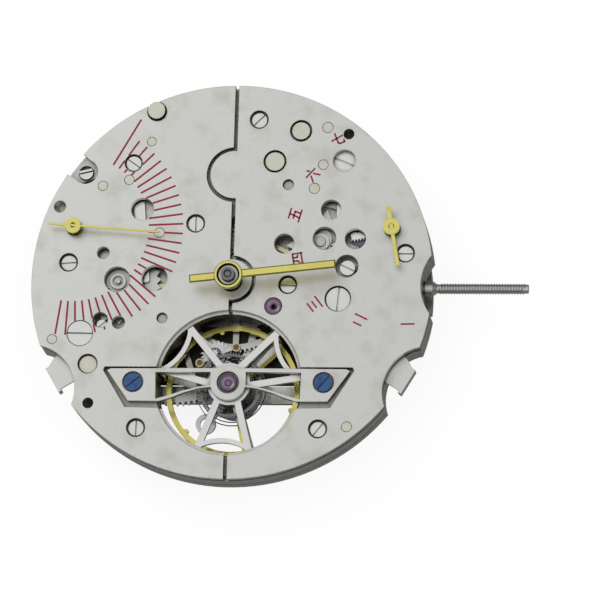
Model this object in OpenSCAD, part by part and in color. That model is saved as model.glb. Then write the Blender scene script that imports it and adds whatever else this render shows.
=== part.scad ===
// Automatic tourbillon watch movement, dial side up.
// Origin: the movement centre, on the face that the dial rests on. +X runs out along the winding stem.
// Every size is in millimetres and every angle in degrees.

/* [Case fit] */
// radius of the plates, which the case holds
plate_r = 16.5; // [12:0.1:20]
// thickness of the two dial-side plates
cover_t = 0.55; // [0.4:0.05:0.8]
// height of the back face of the main plate
plate_back = -3.5; // [-4.5:0.1:-2.8]
// gap between the two dial-side plates
seam = 0.3; // [0.1:0.05:0.6]
// radius of the holes for the dial's feet
dial_foot_r = 0.44; // [0.3:0.01:0.6]

/* [Tourbillon] */
// distance from the movement centre to the tourbillon
tourbillon_y = 8.5; // [7:0.1:10]
// radius of the opening in the dial-side plates
opening_r = 6.04; // [5:0.01:7]
// radius of the thin ledge inside the opening
ledge_r = 5.78; // [5:0.01:6.5]
// outer radius of the cage
cage_r = 5.88; // [5:0.01:6]
// outer radius of the balance rim
balance_r = 5.5; // [4:0.01:5.6]
// width of a cage arm
cage_arm = 0.55; // [0.3:0.01:0.8]
// radius of the hairspring's outer turn
spring_r = 3.02; // [1:0.01:3.2]
// turns of the hairspring
spring_turns = 9; // [5:1:12]

/* [Calendar] */
// teeth of the date star
date_teeth = 31; // [31:1:31]
// tip radius of the date star
date_star_r = 3.5; // [3:0.1:4]
// teeth of the weekday star
day_teeth = 7; // [7:1:7]
// tip radius of the weekday star
day_star_r = 2.9; // [2:0.1:3]
// sweep of the date hand from the first line to the last
date_sweep = 158.6; // [120:0.1:180]
// sweep of the weekday hand from the first numeral to the last
day_sweep = 158.4; // [120:0.1:180]
// share of its sweep that the date hand has made at rest
date_at_rest = 0.41; // [0:0.01:1]

/* [Hands and stem] */
// angle of the hour hand at rest
hour_hand_angle = 6.2; // [0:0.1:360]
// length of the hour hand
hour_hand_l = 8.8; // [6:0.1:12]
// height of the winding stem's axis
stem_z = -2.7; // [-3:0.05:-2]
// end of the stem's thread
stem_end = 24.15; // [18:0.05:28]
// radius of the stem's thread
thread_r = 0.45; // [0.35:0.01:0.6]

/* [Rotor] */
// outer radius of the rotor's weight
rotor_r = 16; // [12:0.1:16.4]
// half the angle that the weight spans
rotor_half = 95; // [70:1:100]

/* [Hidden] */
$fn = 64;
eps = 0.02;
origin = [0, 0];
tb = [0, -tourbillon_y];

// layers, from the dial side to the back
z_rack = [-1.10, -0.88];
z_star = [-1.38, -1.20];
z_day24 = [-1.60, -1.47];
z_motion = [-1.73, -1.64];
z_minute = [-1.86, -1.77];
waist_z = 1.60;
seat_z = 2.22;
cannon_top = 2.50;
floor_rack = -1.16;
floor_star = -1.45;
floor_low = -1.92;
z_barrel = [-3.50, -2.28];
z_ratchet = [-3.90, -3.62];
z_centre = [-4.43, -4.23];
z_third = [-4.75, -4.52];
z_bridge = [-5.30, -4.86];
z_reduce = [-5.56, -5.38];
z_auto = [-5.92, -5.62];
z_reverse = [-6.15, -5.98];
z_rotor = [-6.50, -6.25];
rim_low = -6.75;
rim_high = -5.45;

// tourbillon layers
z_frame = [-0.98, -0.60];
z_fixed = [-1.33, -1.13];
z_cock = [-1.75, -1.45];
z_fork = [-2.14, -1.96];
z_low_cock = [-2.60, -2.35];
z_roller = [-2.40, -2.22];
z_spring = [-2.97, -2.83];
z_rim = [-3.75, -3.27];
z_base = [-4.15, -3.87];
z_cage_pinion = [-4.78, -4.15];

// axes of the wheels
date_axis = [-9.42, 0.08];
day_axis = [7.18, 3.44];
date_pivot = [-8.40, 9.93];
day_pivot = [9.01, 10.13];
date_hub = [-13.10, 4.42];
day_hub = [13.10, 4.35];
minute_axis = [-1.3166, 2.5839];
idler_axis = [4.65, -0.32];
setting_axis = [8.893, -0.32];
date24_axis = [-4.5, 0];
day24_axis = [2.63, 3.65];
third_axis = [-4.95, -2.576];
barrel_axis = [3.40, 5.23];
crown_axis = [8.636, 0];
reverser_axis = [-3.303, 1.838];
reduction_axis = [-1.60, 5.367];
date_corrector_axis = [-12.32, -4.44];
day_corrector_axis = [8.78, -1.48];
setting_lever_axis = [14.0, -3.9];
yoke_axis = [10.05, -4.2];

// fastenings seen from the dial side
cover_screws = [[-3.09, 4.82, 90], [-13.48, 1.51, 4], [-7.43, -12.29, 88], [1.88, 13.62, 45],
                [14.21, 2.34, 0], [4.65, -0.32, -5], [7.44, -12.32, 52]];
// [x, y, hole, head, top, thickness, slot's angle, slot's width]
deep_screws = [[-12.32, -4.44, 1.08, 1.03, -0.06, 0.36, -1, 0.13],
               [8.78, -1.48, 1.08, 0.99, -0.28, 0.22, 85, 0.13],
               [9.01, 10.13, 0.94, 1.04, -0.60, 0.22, -23, 0.16],
               [-8.40, 9.93, 0.745, 0.61, -0.20, 0.30, -35, 0.08]];
flush_pins = [[-6.96, 11.75, 0.36], [-8.71, 8.50, 0.39], [-10.88, 7.99, 0.39], [-6.05, 4.02, 0.40],
              [-14.60, -4.95, 0.37], [7.57, 12.95, 0.42], [7.28, 9.79, 0.39], [6.61, 7.78, 0.42],
              [9.78, -12.13, 0.40]];
low_pins = [[-5.59, -3.14, 0.42], [4.45, 8.10, 0.43]];
studs = [[-11.58, -6.99, 0.72, 0.82, -0.30], [5.37, 12.66, 0.73, 0.915, -0.02], [3.29, 10.07, 0.78, 0.95, -0.05]];
edge_stud = [-6.61, 14.32];
half_screw = [-12.37, 9.19];
open_holes = [[-14.38, 6.22, 0.50], [-7.53, 6.01, 0.95], [-10.64, 2.32, 0.52], [-9.41, 0.09, 1.07],
              [-6.33, 0.19, 1.07], [-10.68, -3.31, 0.64], [-9.17, -3.52, 0.54], [8.03, 6.00, 0.83],
              [4.26, 3.12, 0.83], [7.55, 3.58, 0.96], [10.09, 3.53, 0.86], [9.44, 1.23, 0.96],
              [-13.10, 4.42, 0.66], [13.10, 4.35, 0.66]];
dial_feet = [[-11.43, -10.27], [9.32, 12.38]];
ruby_at = [3.51, -2.12];
blue_at = [[-7.80, -8.48, 38], [7.80, -8.48, 50]];
corrector_notches = [[-16.3, -9.15], [16.3, -9.15]];

// geometry helpers
function pol(r, a) = [r * cos(a), r * sin(a)];
function turn(p, a) = [p[0] * cos(a) - p[1] * sin(a), p[0] * sin(a) + p[1] * cos(a)];
function dir(p, q) = atan2(q[1] - p[1], q[0] - p[0]);
function arc(r, a0, a1, n) = [for (i = [0:n]) pol(r, a0 + (a1 - a0) * i / n)];
function wedge(r, a0, a1) = concat([[0, 0]], arc(r, a0, a1, 12));
function pitch_r(z, m) = z * m / 2;

// the angle of a gear's tooth, so that it meshes with a gear whose own tooth is at pa
function mesh(pa, za, zb, d) =
    let (pitch = 360 / za, u = (d - pa) / pitch, lag = (u - floor(u)) * pitch)
    d + 180 + lag * za / zb + 180 / zb;

// straight-sided watch teeth with a flat top
function teeth(z, m, phase) =
    let (ra = pitch_r(z, m) + 0.85 * m, rf = pitch_r(z, m) - 1.2 * m, p = 360 / z)
    [for (i = [0:z - 1]) each [
        pol(rf, phase + p * (i - 0.33)), pol(ra, phase + p * (i - 0.11)),
        pol(ra, phase + p * (i + 0.11)), pol(rf, phase + p * (i + 0.33))]];

// pointed star teeth
function star(z, tip, root, phase) =
    [for (i = [0:z - 1]) each [pol(tip, phase + 360 / z * i), pol(root, phase + 360 / z * (i + 0.5))]];

module slab(z) {
    translate([0, 0, z[0]])
        linear_extrude(z[1] - z[0])
            children();
}

module at(p) {
    translate([p[0], p[1], 0])
        children();
}

module rod(r, z0, z1) {
    translate([0, 0, z0])
        cylinder(r = r, h = z1 - z0);
}

// a straight bar with rounded ends, wa wide at a and wb wide at b
function bar_points(a, b, wa, wb) =
    let (d = dir(a, b), n = 10)
    concat([for (i = [0:n]) a + pol(wa / 2, d + 90 + 180 * i / n)],
           [for (i = [0:n]) b + pol(wb / 2, d - 90 + 180 * i / n)]);

module bar(a, b, wa, wb) {
    polygon(bar_points(a, b, wa, wb));
}

module ring(ro, ri) {
    difference() {
        circle(ro);
        circle(ri);
    }
}

module spokes(n, phase, ri, ro, w) {
    for (i = [0:n - 1])
        rotate(phase + 360 / n * i)
            translate([ri, -w / 2])
                square([ro - ri, w]);
}

// a spoked wheel: toothed rim, hub and spokes, as a flat shape
module wheel(z, m, phase, rim, hub, bore, n, w) {
    difference() {
        union() {
            difference() {
                polygon(teeth(z, m, phase));
                circle(rim);
            }
            circle(hub);
            spokes(n, phase, hub * 0.8, rim + 0.1, w);
        }
        if (bore > 0)
            circle(bore);
    }
}

module slot_cut(r, a, top, depth, w) {
    rotate(a)
        translate([-r - 1, -w / 2, top - depth])
            cube([2 * r + 2, w, depth + 1]);
}

// outline of the wing-shaped bridge over the tourbillon, right half
wing_half = [[0, -7.30], [9.62, -7.36], [9.95, -7.52], [8.16, -10.06], [5.60, -10.08], [4.55, -9.75], [3.60, -9.36],
             [2.45, -9.02], [1.40, -8.86], [0, -8.80]];
wing_window = [[1.45, -7.64], [5.96, -7.68], [5.90, -9.88], [4.90, -9.60], [3.70, -9.20], [2.50, -8.88], [1.45, -8.70]];
wing_recess = [[0, -7.22], [10.15, -7.22], [10.28, -7.50], [8.40, -10.58], [5.30, -10.64], [0, -10.64]];

module both_sides() {
    children();
    mirror([1, 0])
        children();
}

module wing_outline() {
    both_sides()
        polygon(wing_half);
    translate(tb)
        circle(1.46);
}

// gear data
cannon_z = 20;
idler_z = 60;
motion_m = 0.11625;
cannon_small_z = 15;
minute_z = 45;
hour_z = 48;
hour_pinion_z = 12;
hour_m = 0.09667;
centre_z = 80;
third_pinion_z = 10;
centre_m = 0.124;
third_z = 90;
cage_z = 12;
third_m = 0.15137;
barrel_z = 84;
centre_pinion_z = 12;
barrel_m = 0.13;
ratchet_z = 42;
crown_z = 32;
wind_m = 0.2;
fixed_z = 72;
escape_pinion_z = 8;
fixed_m = 0.075;
rack_m = 0.08;
hand_pinion_z = 12;
date_rack_z = 169;
day_rack_z = 165;

escape_dir = 116;
escape_at = 3.0;
fork_at = 1.5;
escape_axis = tb + pol(escape_at, escape_dir);
fork_axis = tb + pol(fork_at, escape_dir);

// phases, each set so that the pair meshes at rest
cannon_ph = dir(origin, idler_axis);
idler_ph = mesh(cannon_ph, cannon_z, idler_z, dir(origin, idler_axis));
setting_ph = mesh(idler_ph, idler_z, 13, dir(idler_axis, setting_axis));
cannon_small_ph = dir(origin, minute_axis);
minute_ph = mesh(cannon_small_ph, cannon_small_z, minute_z, dir(origin, minute_axis));
minute_pinion_ph = 0;
hour_ph = mesh(minute_pinion_ph, hour_pinion_z, hour_z, dir(minute_axis, origin));
hour_small_ph = 180;
date24_ph = mesh(hour_small_ph, 24, 48, 180);
day24_ph = mesh(hour_small_ph, 24, 48, dir(origin, day24_axis));
centre_ph = 0;
third_pinion_ph = mesh(centre_ph, centre_z, third_pinion_z, dir(origin, third_axis));
third_ph = 0;
cage_ph = mesh(third_ph, third_z, cage_z, dir(third_axis, tb));
fixed_ph = 0;
escape_pinion_ph = mesh(fixed_ph, fixed_z, escape_pinion_z, escape_dir);
centre_pinion_ph = 0;
barrel_ph = mesh(centre_pinion_ph, centre_pinion_z, barrel_z, dir(origin, barrel_axis));
crown_ph = 180 / crown_z;
ratchet_ph = mesh(crown_ph, crown_z, ratchet_z, dir(crown_axis, barrel_axis));
reduction_pinion_ph = mesh(ratchet_ph, ratchet_z, 8, dir(barrel_axis, reduction_axis));
reduction_ph = 0;
reverser_pinion_ph = mesh(reduction_ph, 49, 7, dir(reduction_axis, reverser_axis));
rotor_pinion_ph = 0;
reverser_ph = mesh(rotor_pinion_ph, 14, 40, dir(origin, reverser_axis));

// retrograde works: the snail lifts a feeler, and its rack turns the hand
function feeler_l(pivot, axis) = norm(axis - pivot);
function rack_turn(sweep, zr) = sweep * hand_pinion_z / zr;
function feeler_angle(pivot, axis, low) = 2 * asin(low / (2 * feeler_l(pivot, axis)));
function tip_at(pivot, axis, low, up) =
    pivot + pol(feeler_l(pivot, axis), dir(pivot, axis) + feeler_angle(pivot, axis, low) + up);
date_low = 1.0;
day_low = 0.9;
nose = 0.06;
date_span = 360 / date_teeth * (date_teeth - 1);
day_span = 360 / day_teeth * (day_teeth - 1);
date_turn = rack_turn(date_sweep, date_rack_z);
day_turn = rack_turn(day_sweep, day_rack_z);

// one point of a snail, about its own axis, for the day when its star has turned by f
function snail_at(pivot, axis, low, lift, span, rest, f, drop) =
    let (g = min(f, span), t = tip_at(pivot, axis, low, lift * g / span) - axis,
         r = norm(t) - nose - 0.04)
    turn(t / norm(t) * (drop ? low - nose - 0.04 : r), f - rest);

// a snail, whose high end drops back to its low end inside the last part of the turn
function snail(pivot, axis, low, lift, span, rest, n) =
    let (room = 360 - span - lift / 2)
    concat([for (i = [0:n]) snail_at(pivot, axis, low, lift, span, rest, span * i / n, false)],
           [snail_at(pivot, axis, low, lift, span, rest, span + room * 0.35, false),
            snail_at(pivot, axis, low, lift, span, rest, span + room * 0.80, true)]);

date_tip = tip_at(date_pivot, date_axis, date_low, date_turn * date_at_rest);
day_tip = tip_at(day_pivot, day_axis, day_low, 0);

// dial-side plates
module cover_blank() {
    difference() {
        circle(plate_r);
        translate(tb)
            circle(ledge_r);
        both_sides()
            polygon(wing_recess);
        for (n = corrector_notches)
            translate(n)
                circle(3.72);
        for (h = open_holes)
            translate([h[0], h[1]])
                circle(h[2]);
        for (s = cover_screws)
            translate([s[0], s[1]])
                circle(0.78);
        for (s = deep_screws)
            translate([s[0], s[1]])
                circle(s[2]);
        for (p = concat(flush_pins, low_pins))
            translate([p[0], p[1]])
                circle(p[2] + 0.03);
        for (s = studs)
            translate([s[0], s[1]])
                circle(s[3]);
        for (f = dial_feet)
            translate(f)
                circle(dial_foot_r);
        translate(edge_stud)
            circle(0.82);
        bar(edge_stud + pol(0.3, dir(origin, edge_stud)), edge_stud * 1.2, 0.9, 1.6);
        translate(half_screw)
            circle(1.02);
        bar(half_screw, half_screw * 1.2, 1.9, 2.6);
        translate(ruby_at)
            circle(0.71 + eps);
        circle(0.92);
        translate([19.55, -0.3])
            circle(4.05);
    }
}

module seam_left() {
    difference() {
        union() {
            translate([-20, -20])
                square([20 - seam / 2, 40]);
            translate([0, 0.1])
                circle(1.85 - seam / 2);
        }
        translate([0, 8.95])
            circle(2.16 + seam / 2);
    }
}

module seam_right() {
    difference() {
        union() {
            translate([seam / 2, -20])
                square([20, 40]);
            translate([0, 8.95])
                circle(2.16 - seam / 2);
        }
        translate([0, 0.1])
            circle(1.85 + seam / 2);
    }
}

module opening_step() {
    at(tb)
        rod(opening_r, -0.40, 1);
}

module date_plate() {
    color([0.80, 0.80, 0.78])
        difference() {
            slab([-cover_t, 0])
                intersection() {
                    cover_blank();
                    seam_left();
                }
            opening_step();
        }
}

module day_plate() {
    color([0.80, 0.80, 0.78])
        difference() {
            slab([-cover_t, 0])
                intersection() {
                    cover_blank();
                    seam_right();
                }
            opening_step();
        }
}

module rack_pocket(pivot, a0, a1, r, hub_room = 1.35) {
    translate(pivot)
        intersection() {
            circle(r);
            polygon(wedge(r * 1.3, a0, a1));
        }
    translate(pivot)
        circle(hub_room);
}

module star_posts() {
    translate(date_axis)
        circle(0.21);
    translate(day_axis)
        circle(0.39);
}

module keyless_pocket() {
    for (p = [[13.4, -0.5], [14.7, -0.5]])
        bar(setting_lever_axis, p, 1.9, 1.1);
    for (p = [[10.4, -0.5], [9.7, -0.5]])
        bar(yoke_axis, p, 1.8, 1.1);
}

// room for a corrector's tab, left-hand side
corrector_room = [[-13.6, -3.2], [-10.9, -4.9], [-11.2, -7.2], [-12.2, -8.9], [-13.3, -9.8],
                  [-16.2, -9.0], [-15.6, -5.4]];

module main_plate() {
    color([0.76, 0.76, 0.73])
        difference() {
            union() {
                rod(plate_r, plate_back, -0.95);
                rod(plate_r - 0.35, -1.0, -cover_t);
            }
            // groove round the edge
            translate([0, 0, -2.55])
                rotate_extrude()
                    translate([plate_r - 0.2, 0])
                        square([1, 0.18]);
            at(tb)
                rod(6.0, plate_back - 1, 0);
            for (n = corrector_notches)
                at(n)
                    rod(3.72, plate_back - 1, 0);
            at([19.55, -0.3])
                rod(4.05, plate_back - 1, 0);
            at(edge_stud * 1.08)
                rod(1.1, -1.6, 0);
            // pockets for the works under the dial-side plates
            slab([floor_low, 0]) {
                difference() {
                    union() {
                        circle(4.0);
                        translate(date24_axis)
                            circle(3.25);
                        translate(day24_axis)
                            circle(3.25);
                        translate(idler_axis)
                            circle(3.75);
                        translate(minute_axis)
                            circle(2.42);
                    }
                    for (a = [minute_axis, idler_axis, date24_axis, day24_axis])
                        translate(a)
                            circle(0.35);
                }
            }
            slab([floor_low, -1.62])
                translate(setting_axis)
                    ring(1.05, 0.25);
            slab([floor_star, 0]) {
                difference() {
                    union() {
                        translate(date_axis)
                            circle(3.7);
                        translate(day_axis)
                            circle(3.08);
                        bar([-10.9, -3.95], [-6.9, -3.35], 0.9, 0.9);
                        bar([9.44, 1.23], [11.1, 2.1], 1.5, 0.9);
                        bar([11.1, 2.1], [10.6, 3.6], 0.9, 0.9);
                        translate([-10.68, -3.51])
                            circle(0.47);
                        both_sides()
                            polygon(corrector_room);
                        bar(date_corrector_axis, [-11.5, -3.1], 2.9, 1.4);
                        bar(day_corrector_axis, [12.6, -5.6], 2.9, 2.9);
                        bar(day_corrector_axis, [8.1, 0.4], 2.9, 1.4);
                    }
                    translate(idler_axis)
                        circle(0.35);
                    star_posts();
                    for (a = [date_corrector_axis, day_corrector_axis])
                        translate(a)
                            circle(0.4);
                }
            }
            slab([floor_rack, 0]) {
                difference() {
                    union() {
                        rack_pocket(date_pivot, -160, -54, 7.35, 1.78);
                        rack_pocket(date_pivot, -104, -66, 8.6);
                        rack_pocket(day_pivot, -116, -28, 7.2);
                        translate(date_hub)
                            circle(0.9);
                        translate(day_hub)
                            circle(0.9);
                    }
                    for (a = [date_pivot, day_pivot])
                        translate(a)
                            circle(0.4);
                    star_posts();
                }
            }
            for (a = [date_hub, day_hub])
                at(a)
                    rod(0.23, -1.8, 0);
            // keyless works
            slab([-2.2, -1.5])
                difference() {
                    keyless_pocket();
                    for (a = [setting_lever_axis, yoke_axis])
                        translate(a)
                            circle(0.4);
                }
            slab([-1.92, -1.5])
                for (a = [setting_lever_axis, yoke_axis])
                    translate(a)
                        circle(0.7);
            translate([9.0, -1.3, plate_back - 1])
                cube([3.5, 2.6, -1.55 - plate_back + 1]);
            translate([13.05, -1.05, -3.3])
                cube([1.9, 1.7, 2]);
            translate([7.3, 0, stem_z])
                rotate([0, 90, 0])
                    cylinder(r = 0.31, h = 2.2);
            translate([12, 0, stem_z])
                rotate([0, 90, 0])
                    cylinder(r = 0.53, h = 5);
            // barrel and centre pinion, from the back
            at(barrel_axis)
                rod(5.75, plate_back - 1, -2.2);
            at(barrel_axis)
                rod(0.53, -3, -2.08);
            rod(1.12, plate_back - 1, -3.12);
            rod(0.48, plate_back, 0);
            // third wheel arbor
            at(third_axis)
                rod(0.2, plate_back - 1, -2.6);
            // dial feet and screws
            for (f = dial_feet)
                at(f)
                    rod(dial_foot_r, -2.9, 0);
            at(edge_stud)
                rod(0.72, -1.6, 0);
            for (s = cover_screws)
                at([s[0], s[1]])
                    rod(0.22, -1.6, 0);
            for (s = blue_at)
                at([s[0], s[1]])
                    rod(0.3, -1.8, 0);
            at(half_screw) {
                rod(0.3, -1.8, 0);
                rod(0.63, -0.93, 0);
            }
            // the day rack's screw sits on a lower post
            at(day_pivot)
                rod(0.45, -0.84, 0);
        }
    // post of the crown wheel
    color([0.76, 0.76, 0.73])
        at(crown_axis)
            rod(0.8, -4.0, plate_back + 0.1);
}

module wing_bridge() {
    color([0.80, 0.80, 0.78])
        difference() {
            union() {
                slab([-0.50, 0])
                    difference() {
                        wing_outline();
                        both_sides()
                            polygon(wing_window);
                        translate(tb)
                            circle(0.92);
                    }
                for (s = [-1, 1])
                    at([s * 7.9, -8.6])
                        rod(1.1, -cover_t, -0.4);
            }
            for (s = blue_at)
                at([s[0], s[1]]) {
                    rod(0.87, -0.30, 1);
                    rod(0.3, -2, 1);
                }
        }
}

module fixed_wheel() {
    color([0.62, 0.62, 0.60])
        at(tb)
            difference() {
                union() {
                    rod(0.92, -0.48, -0.26);
                    rod(0.76, z_fixed[1] - eps, -0.40);
                    slab(z_fixed)
                        difference() {
                            wheel(fixed_z, fixed_m, fixed_ph, 2.42, 0.95, 0.3, 3, 0.28);
                        }
                }
                rod(0.3, -2, -0.45);
            }
}

module screw_head(r, top, t, a, slot_w) {
    difference() {
        rod(r, top - t, top);
        slot_cut(r, a, top, t * 0.45, slot_w);
    }
}

module plate_screws() {
    color([0.84, 0.84, 0.82]) {
        for (s = cover_screws)
            at([s[0], s[1]]) {
                screw_head(0.62, -0.28, 0.27, s[2], 0.12);
                rod(0.22, -1.5, -0.54);
            }
        for (s = deep_screws)
            at([s[0], s[1]]) {
                screw_head(s[3], s[4], s[5], s[6], s[7]);
                rod(0.4, min(-cover_t, s[4] - s[5] - 0.02), s[4] - s[5] + eps);
            }
        // half-headed screw that clamps the movement in its case
        at(half_screw) {
            intersection() {
                screw_head(0.58, -0.30, 0.60, 13, 0.12);
                rotate(13)
                    translate([-1, -0.9, -2])
                        cube([2, 1.15, 3]);
            }
            rod(0.3, -1.7, -0.85);
        }
        // screws of the two jumpers, under the plates
        at([-10.68, -3.51])
            screw_head(0.42, -0.95, 0.2, 40, 0.1);
        at([9.44, 1.23])
            screw_head(0.62, -0.62, 0.22, -25, 0.12);
        at([9.44, 1.23])
            rod(0.2, -1.19, -0.8);
    }
}

module blue_screws() {
    color([0.16, 0.24, 0.42])
        for (s = blue_at)
            at([s[0], s[1]]) {
                screw_head(0.73, -0.04, 0.25, s[2], 0.13);
                rod(0.29, -1.7, -0.28);
            }
}

module plate_studs() {
    color([0.80, 0.79, 0.72]) {
        for (p = flush_pins)
            at([p[0], p[1]])
                rod(p[2], -cover_t, -0.01);
        for (p = low_pins)
            at([p[0], p[1]])
                rod(p[2] - 0.02, -cover_t, -0.40);
        for (s = studs)
            at([s[0], s[1]])
                rod(s[2], -cover_t, s[4]);
        at(edge_stud) {
            rod(0.71, -1.6, 0.38);
        }
    }
}

module plate_jewels() {
    color([0.60, 0.36, 0.60]) {
        at(ruby_at)
            difference() {
                rod(0.71, -0.45, -0.05);
                rod(0.2, -0.25, 1);
            }
        at(tb)
            difference() {
                rod(0.71, -0.26, -0.10);
                rod(0.16, -0.16, 1);
            }
    }
}

// back-side bridges
module bridge_disc() {
    circle(15.2);
}

module barrel_bridge() {
    color([0.78, 0.78, 0.75])
        difference() {
            union() {
                slab(z_bridge)
                    intersection() {
                        bridge_disc();
                        polygon([[-16, -0.9], [-6.0, -0.9], [-5.2, 0.4], [-1.6, -1.6], [4.2, -2.9], [12.2, -5.6],
                                 [16, -4.5], [16, 16], [-16, 16]]);
                    }
                slab([z_bridge[1] - eps, plate_back])
                    intersection() {
                        ring(15.2, 13.4);
                        polygon(wedge(30, 14, 168));
                    }
                slab([z_bridge[1] - eps, plate_back])
                    translate([12.9, -3.6])
                        circle(0.75);
            }
            at(barrel_axis)
                rod(0.53, -7, 0);
            at(reduction_axis)
                rod(0.23, -7, 0);
            at(reverser_axis)
                rod(0.23, -7, -4);
            for (a = [30, 75, 120, 160])
                at(pol(14.2, a))
                    rod(0.75, -6, -5.05);
        }
}

module train_bridge() {
    color([0.78, 0.78, 0.75])
        difference() {
            union() {
                slab(z_bridge)
                    intersection() {
                        bridge_disc();
                        polygon([[-16, -1.15], [-5.9, -1.15], [-5.1, 0.1], [-3.3, -0.9], [-3.4, -3.4], [-6.0, -4.4],
                                 [-14.6, -7.1]]);
                    }
                for (p = [[-13.3, -2.4], [-12.9, -5.6]])
                    at(p)
                        rod(0.75, z_bridge[1] - eps, plate_back);
            }
            at(third_axis)
                rod(0.2, -5.15, -4);
            at(third_axis)
                rod(0.55, -7, -5.12);
        }
}

module tourbillon_bridge() {
    color([0.78, 0.78, 0.75])
        difference() {
            union() {
                slab([-5.35, -4.86])
                    union() {
                        translate([-9.9, -9.22])
                            square([19.8, 1.44]);
                        translate(tb)
                            circle(2.08);
                        for (s = [-1, 1])
                            translate([s * 9.6, -9.0])
                                circle(1.25);
                    }
                for (s = [-1, 1])
                    at([s * 9.9, -9.3])
                        rod(0.72, -4.9, plate_back);
            }
            at(tb)
                rod(0.24, -5.22, -4);
            at(tb)
                rod(0.62, -7, -5.18);
        }
}

module auto_bridge() {
    color([0.74, 0.74, 0.72])
        difference() {
            union() {
                slab(z_auto)
                    union() {
                        circle(2.3);
                        bar(origin, reverser_axis, 3.0, 2.0);
                        bar(reverser_axis, [-9.2, 4.4], 2.0, 1.9);
                        bar(reduction_axis, [-3.2, 10.6], 1.7, 1.9);
                        bar(origin, reduction_axis, 2.2, 1.7);
                        bar(origin, [8.2, 6.4], 2.6, 1.9);
                    }
                for (p = [[-9.2, 4.4], [-3.2, 10.6], [8.2, 6.4]])
                    at(p)
                        rod(0.85, z_auto[1] - eps, z_bridge[0]);
                rod(0.50, -6.53, z_auto[0] + eps);
            }
            at(reverser_axis)
                rod(0.23, -7, -5);
            at(reduction_axis)
                rod(0.23, -5.84, -5);
            rod(0.28, -7, -6.15);
        }
}

module rotor_screw() {
    color([0.82, 0.82, 0.80])
        difference() {
            union() {
                rod(1.3, rim_low, -6.55);
                rod(0.26, -6.56, -6.20);
            }
            slot_cut(1.3, 30, rim_low + 0.12, 0.2, 0.2);
        }
}

module bridge_screws() {
    color([0.84, 0.84, 0.82]) {
        for (a = [30, 75, 120, 160])
            at(pol(14.2, a))
                mirrored_head(0.68, -5.25, 0.2, a + 20);
        for (p = [[-13.3, -2.4], [-12.9, -5.6]])
            at(p)
                mirrored_head(0.6, -5.38, 0.08, 20);
        for (s = [-1, 1])
            at([s * 9.9, -9.3])
                mirrored_head(0.6, -5.43, 0.08, 35 * s);
        for (p = [[-9.2, 4.4], [-3.2, 10.6], [8.2, 6.4]])
            at(p)
                mirrored_head(0.62, -6.0, 0.08, 70);
        // left-handed screw of the crown wheel
        at(crown_axis)
            mirrored_head(1.35, -4.18, 0.18, 15);
    }
}

module mirrored_head(r, low, t, a) {
    difference() {
        rod(r, low, low + t);
        rotate(a)
            translate([-r - 1, -0.07, low - 1])
                cube([2 * r + 2, 0.14, 1 + t * 0.45]);
    }
}

// centre of the movement
module cannon_pinion() {
    color([0.42, 0.42, 0.42]) {
        difference() {
            union() {
                rod(0.55, z_motion[1] - eps, waist_z);
                // a waist inside the hour wheel's pipe leaves the minute hand's seat on its own
                rod(0.38, waist_z - eps, seat_z + eps);
                rod(0.55, seat_z, cannon_top);
                slab(z_minute)
                    polygon(teeth(cannon_z, motion_m, cannon_ph));
                slab([z_minute[1] - eps, z_motion[1]])
                    polygon(teeth(cannon_small_z, hour_m, cannon_small_ph));
                rod(0.45, z_centre[1], z_minute[0] + eps);
            }
            rod(0.33, seat_z + 0.08, 3);
        }
        // end of the centre arbor
        rod(0.22, seat_z, cannon_top - 0.08);
    }
}

module centre_wheel() {
    color([0.74, 0.74, 0.72]) {
        slab(z_centre)
            wheel(centre_z, centre_m, centre_ph, 4.35, 0.9, 0, 4, 0.5);
        slab([-3.46, -3.16])
            difference() {
                polygon(teeth(centre_pinion_z, barrel_m, centre_pinion_ph));
                circle(0.45);
            }
    }
}

module minute_wheel() {
    color([0.72, 0.70, 0.60])
        at(minute_axis)
            difference() {
                union() {
                    slab(z_motion)
                        wheel(minute_z, hour_m, minute_ph, 1.78, 0.75, 0.38, 4, 0.35);
                    slab(z_rack)
                        polygon(teeth(hour_pinion_z, hour_m, minute_pinion_ph));
                    rod(0.55, z_motion[1] - eps, z_rack[0] + eps);
                }
                rod(0.38, -3, 0);
            }
}

// wheel between the setting wheel and the cannon pinion
module setting_idler() {
    color([0.72, 0.70, 0.60])
        at(idler_axis)
            slab(z_minute)
                wheel(idler_z, motion_m, idler_ph, 2.9, 0.85, 0.38, 4, 0.4);
}

module hour_wheel() {
    color([0.78, 0.78, 0.76])
        difference() {
            union() {
                slab(z_rack)
                    polygon(teeth(hour_z, hour_m, hour_ph));
                slab(z_day24)
                    polygon(teeth(24, 0.125, hour_small_ph));
                rod(0.80, z_day24[0], 1.98);
                rod(1.15, z_rack[1] - eps, -0.82);
            }
            rod(0.58, -3, 3);
            // light holes through the web
            for (a = [0:60:300])
                at(pol(1.66, a + 20))
                    rod(0.38, -1.3, 0);
        }
}

module hour_hand() {
    color([0.80, 0.74, 0.30])
        rotate(hour_hand_angle)
            difference() {
                union() {
                    rod(1.17, 1.90, 2.20);
                    translate([-3.2, -0.34, 1.96])
                        cube([3.2 + hour_hand_l, 0.68, 0.16]);
                }
                rod(0.80, 1, 3);
            }
}

// drive wheels that turn once a day
module drive24(axis, ph, finger, a) {
    at(axis)
        difference() {
            union() {
                slab(z_day24)
                    wheel(48, 0.125, ph, 2.5, 0.75, 0.38, 4, 0.35);
                slab([z_day24[0], z_star[1]])
                    bar(pol(finger - 0.5, a), pol(finger - 0.11, a), 0.36, 0.22);
                slab(z_day24)
                    bar(pol(0.5, a), pol(finger - 0.3, a), 0.5, 0.4);
                rod(0.62, z_day24[0], -1.2);
            }
            rod(0.38, -3, 0);
        }
}

module date_drive() {
    color([0.72, 0.70, 0.60])
        drive24(date24_axis, date24_ph, 1.52, 0);
}

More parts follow.
